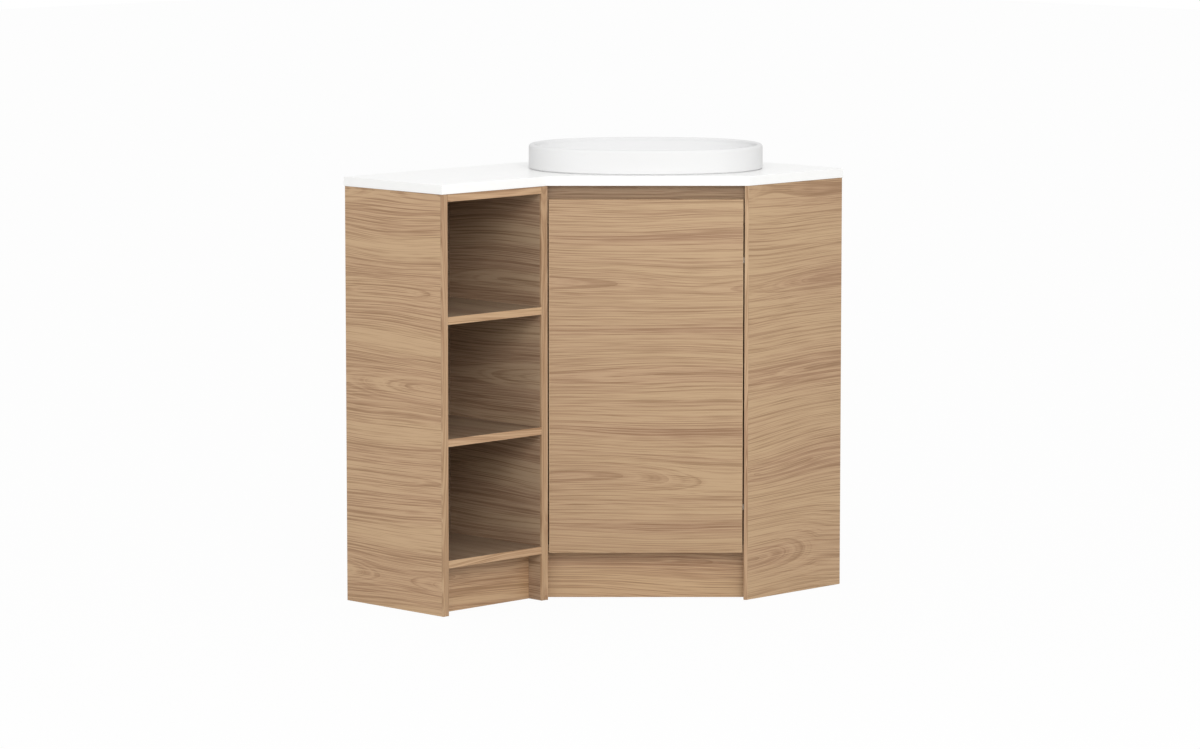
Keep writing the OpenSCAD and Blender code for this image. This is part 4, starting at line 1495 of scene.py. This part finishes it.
    def _seal(self) -> bpy.types.Object:
        """Builds the sealant's ring, tooled hollow at its outer edge.

        Returns:
            The piece.
        """
        high = self.seat_z
        outer, inner = self.half_long - self.seal_out, self.half_long - self.seal_in
        corners = [(inner, self.bench_z, 0.0), (outer, self.bench_z, 0.0)]
        corners += [(outer - 0.8, self.bench_z + 0.6, 0.0), (outer - 0.8, high - 0.6, 0.0)]
        corners += [(outer, high, 0.0), (inner, high, 0.0)]
        profile = rounded(corners, True)
        return self._turned("sealant_ring", profile, "basin_seal", "clear_silicone", SILICONE, segments=256, oval=True)

    def _waste(self) -> bpy.types.Object:
        """Builds the waste: a flange on a threaded tail, with its groove above the nut.

        Returns:
            The piece.
        """
        corners = [(self.bore_r, self.tail_z, 0.3)]
        root = self.tail_r - self.thread_depth
        corners.append((root, self.tail_z, 0.3))
        z = self.tail_z + 1.5
        # The thread's 2.3 mm turns, drawn as rings.
        while z + self.thread_pitch < self.groove_z - 1.0:
            corners += [(root, z, 0.0), (self.tail_r, z + 0.9, 0.0), (self.tail_r, z + 1.2, 0.0)]
            corners.append((root, z + 2.1, 0.0))
            z += self.thread_pitch
        groove_r = self.tail_r - self.groove_t
        corners += [(self.tail_r, self.groove_z, 0.0), (groove_r, self.groove_z, 0.0)]
        corners += [(groove_r, self.groove_z + self.groove_h, 0.0), (self.tail_r, self.groove_z + self.groove_h, 0.0)]
        corners += [(self.tail_r, self.flange_z, 0.0), (self.flange_r, self.flange_z, 0.2)]
        corners += [(self.flange_r, self.flange_top, 1.6), (self.bore_r, self.flange_top, 1.2)]
        return self._turned("waste_fitting", rounded(corners, True), "waste_body", "chrome_plate", CHROME)

    def _flange_seal(self) -> bpy.types.Object:
        """Builds the rubber ring under the flange.

        Returns:
            The piece.
        """
        top = self.flange_z
        corners = [(self.hole_r, self.recess_z, 0.3), (self.flange_r - 1, self.recess_z, 0.6)]
        corners += [(self.flange_r - 1, top, 0.6), (self.hole_r, top, 0.3)]
        ring = rounded(corners, closed=True)
        return self._turned("flange_ring", ring, "waste_flange_seal", "black_rubber", RUBBER, segments=72)

    def _washer(self) -> bpy.types.Object:
        """Builds the rubber washer between the basin and the nut.

        Returns:
            The piece.
        """
        inner = self.tail_r + 0.05
        corners = [(inner, self.washer_z, 0.4), (self.nut_r, self.washer_z, 1.0)]
        corners += [(self.nut_r, self.boss_z, 1.0), (inner, self.boss_z, 0.4)]
        return self._turned("nut_washer", rounded(corners, True), "waste_washer", "black_rubber", RUBBER, segments=72)

    def _plug(self) -> bpy.types.Object:
        """Builds the domed plug on its stem.

        Returns:
            The piece.
        """
        edge = math.degrees(math.asin(self.plug_r / self.plug_dome_r))
        middle = self.plug_z + self.plug_t - self.plug_dome_r
        dome = arc((0, middle), self.plug_dome_r, 90 - edge, 90, 12)
        foot = self.plug_z - self.stem_len
        corners = [(0.0, foot, 0.0), (self.stem_r, foot, 0.8), (self.stem_r, self.plug_z, 0.0)]
        corners += [(self.plug_r, self.plug_z, 0.0)] + [(r, z, 0.0) for r, z in dome[:-1]] + [(0.0, dome[-1][1], 0.0)]
        outline = rounded(corners, closed=False)
        return self._turned("domed_plug", outline, "pop_up_plug", "chrome_plate", CHROME, body="plug")


# ------------------------------------------------------------------ studio


@dataclass(frozen=True)
class Studio:
    """A pale floor, a soft dome of light with a weak soft lamp, and the photograph's camera."""

    dome: float = 0.72
    dome_top: float = 0.12
    dome_colour: str = "#ffffff"
    lamp_watts: float = 97.0
    lamp_size: float = 2.6
    lamp_at: Triple = (-2.7, -3.4, 2.8)
    floor_size: float = 40.0
    floor_colour: str = "#dcdcda"
    floor_glow: float = 0.96
    camera_at: Triple = (-7.53417, -7.53444, 1.79362)
    camera_yaw: float = 0.0008
    camera_pitch: float = 0.1237
    lens_mm: float = 151.4546
    sensor_mm: float = 36.0

    def build(self) -> None:
        """Builds the floor, the light and the camera."""
        self._world()
        self._lamp()
        self._floor()
        self._camera()
        bpy.context.scene.view_settings.view_transform = "Standard"

    def _seen_as_background(self, tree: Tree) -> Socket:
        """Gives 1 where a ray sees the background: straight, in a reflection or through something clear.

        Args:
            tree: The world's or the floor's tree.

        Returns:
            The switch.
        """
        ray = add_node(tree, "ShaderNodeLightPath")
        mirrored = calc(tree, "MAXIMUM", ray.outputs["Is Camera Ray"], ray.outputs["Is Glossy Ray"])
        return calc(tree, "MAXIMUM", mirrored, ray.outputs["Is Transmission Ray"])

    def _world(self) -> None:
        """Builds the dome: white where it is seen, and an even soft light for the object."""
        world = bpy.data.worlds.new("studio_dome")
        world.use_nodes = True
        tree = world.node_tree
        tree.nodes.clear()
        # The dome is brighter overhead, as a ceiling of soft boxes is.
        place = add_node(tree, "ShaderNodeTexCoord")
        height = add_node(tree, "ShaderNodeSeparateXYZ", {0: place.outputs["Generated"]})
        above = calc(tree, "MAXIMUM", height.outputs[2], 0.0)
        strength = calc(tree, "MULTIPLY_ADD", above, self.dome_top, self.dome)
        light = add_node(tree, "ShaderNodeBackground", {"Color": srgb(self.dome_colour), "Strength": strength})
        white = add_node(tree, "ShaderNodeBackground", {"Color": (1, 1, 1, 1), "Strength": 1.0})
        mix = add_node(tree, "ShaderNodeMixShader", {0: self._seen_as_background(tree)})
        tree.links.new(light.outputs[0], mix.inputs[1])
        tree.links.new(white.outputs[0], mix.inputs[2])
        add_node(tree, "ShaderNodeOutputWorld", {"Surface": mix.outputs[0]})
        bpy.context.scene.world = world

    def _lamp(self) -> None:
        """Hangs the soft lamp in front of the unit, aimed at its middle."""
        light = bpy.data.lights.new("soft_lamp", "AREA")
        light.energy, light.shape, light.size = self.lamp_watts, "DISK", self.lamp_size
        lamp = bpy.data.objects.new("soft_lamp", light)
        bpy.context.scene.collection.objects.link(lamp)
        lamp.location = self.lamp_at
        lamp.rotation_euler = (Vector((0.0, 0.0, 0.5)) - Vector(self.lamp_at)).to_track_quat("-Z", "Y").to_euler()

    def _floor(self) -> None:
        """Lays the floor, which looks white and keeps the object's shadow."""
        half = self.floor_size / 2
        mesh = bpy.data.meshes.new("studio_floor")
        mesh.from_pydata([(-half, -half, 0), (half, -half, 0), (half, half, 0), (-half, half, 0)], [], [(0, 1, 2, 3)])
        material = bpy.data.materials.new("pale_floor")
        material.use_nodes = True
        tree = material.node_tree
        tree.nodes.clear()
        paint = add_node(tree, "ShaderNodeBsdfDiffuse", {"Color": srgb(self.floor_colour)})
        glow = add_node(tree, "ShaderNodeEmission", {"Color": (1, 1, 1, 1), "Strength": 1.0})
        share = calc(tree, "MULTIPLY", self._seen_as_background(tree), self.floor_glow)
        mix = add_node(tree, "ShaderNodeMixShader", {0: share})
        tree.links.new(paint.outputs[0], mix.inputs[1])
        tree.links.new(glow.outputs[0], mix.inputs[2])
        add_node(tree, "ShaderNodeOutputMaterial", {"Surface": mix.outputs[0]})
        mesh.materials.append(material)
        floor = bpy.data.objects.new("studio_floor", mesh)
        bpy.context.scene.collection.objects.link(floor)

    def _camera(self) -> None:
        """Sets the camera at the photograph's place, angle and lens."""
        half = HALF_ROOT
        side, back, up = Vector((half, -half, 0)), Vector((-half, -half, 0)), Vector((0, 0, 1))
        right = side * math.cos(self.camera_yaw) + back * math.sin(self.camera_yaw)
        level = back * math.cos(self.camera_yaw) - side * math.sin(self.camera_yaw)
        behind = level * math.cos(self.camera_pitch) + up * math.sin(self.camera_pitch)
        above = up * math.cos(self.camera_pitch) - level * math.sin(self.camera_pitch)
        turn = Matrix((right, above, behind)).transposed().to_4x4()
        camera = bpy.data.cameras.new("photograph_camera")
        camera.lens, camera.sensor_width, camera.sensor_fit = self.lens_mm, self.sensor_mm, "HORIZONTAL"
        holder = bpy.data.objects.new("photograph_camera", camera)
        bpy.context.scene.collection.objects.link(holder)
        holder.matrix_world = Matrix.Translation(self.camera_at) @ turn
        bpy.context.scene.camera = holder


def main() -> None:
    """Builds the vanity's sub-assemblies in order and the studio round them."""
    logging.basicConfig(level=logging.INFO, format="%(name)s: %(message)s")
    store = FinishStore()
    kinds = (OpenShelfUnit, CornerCabinet, Benchtop, BasinWithWaste, HangingDoor)
    for part in [kind(store) for kind in kinds]:
        for piece in part.build():
            LOG.info("%s: %s, %d faces", type(part).__name__, piece.name, len(piece.data.polygons))
    Studio().build()


if __name__ == "__main__":
    main()
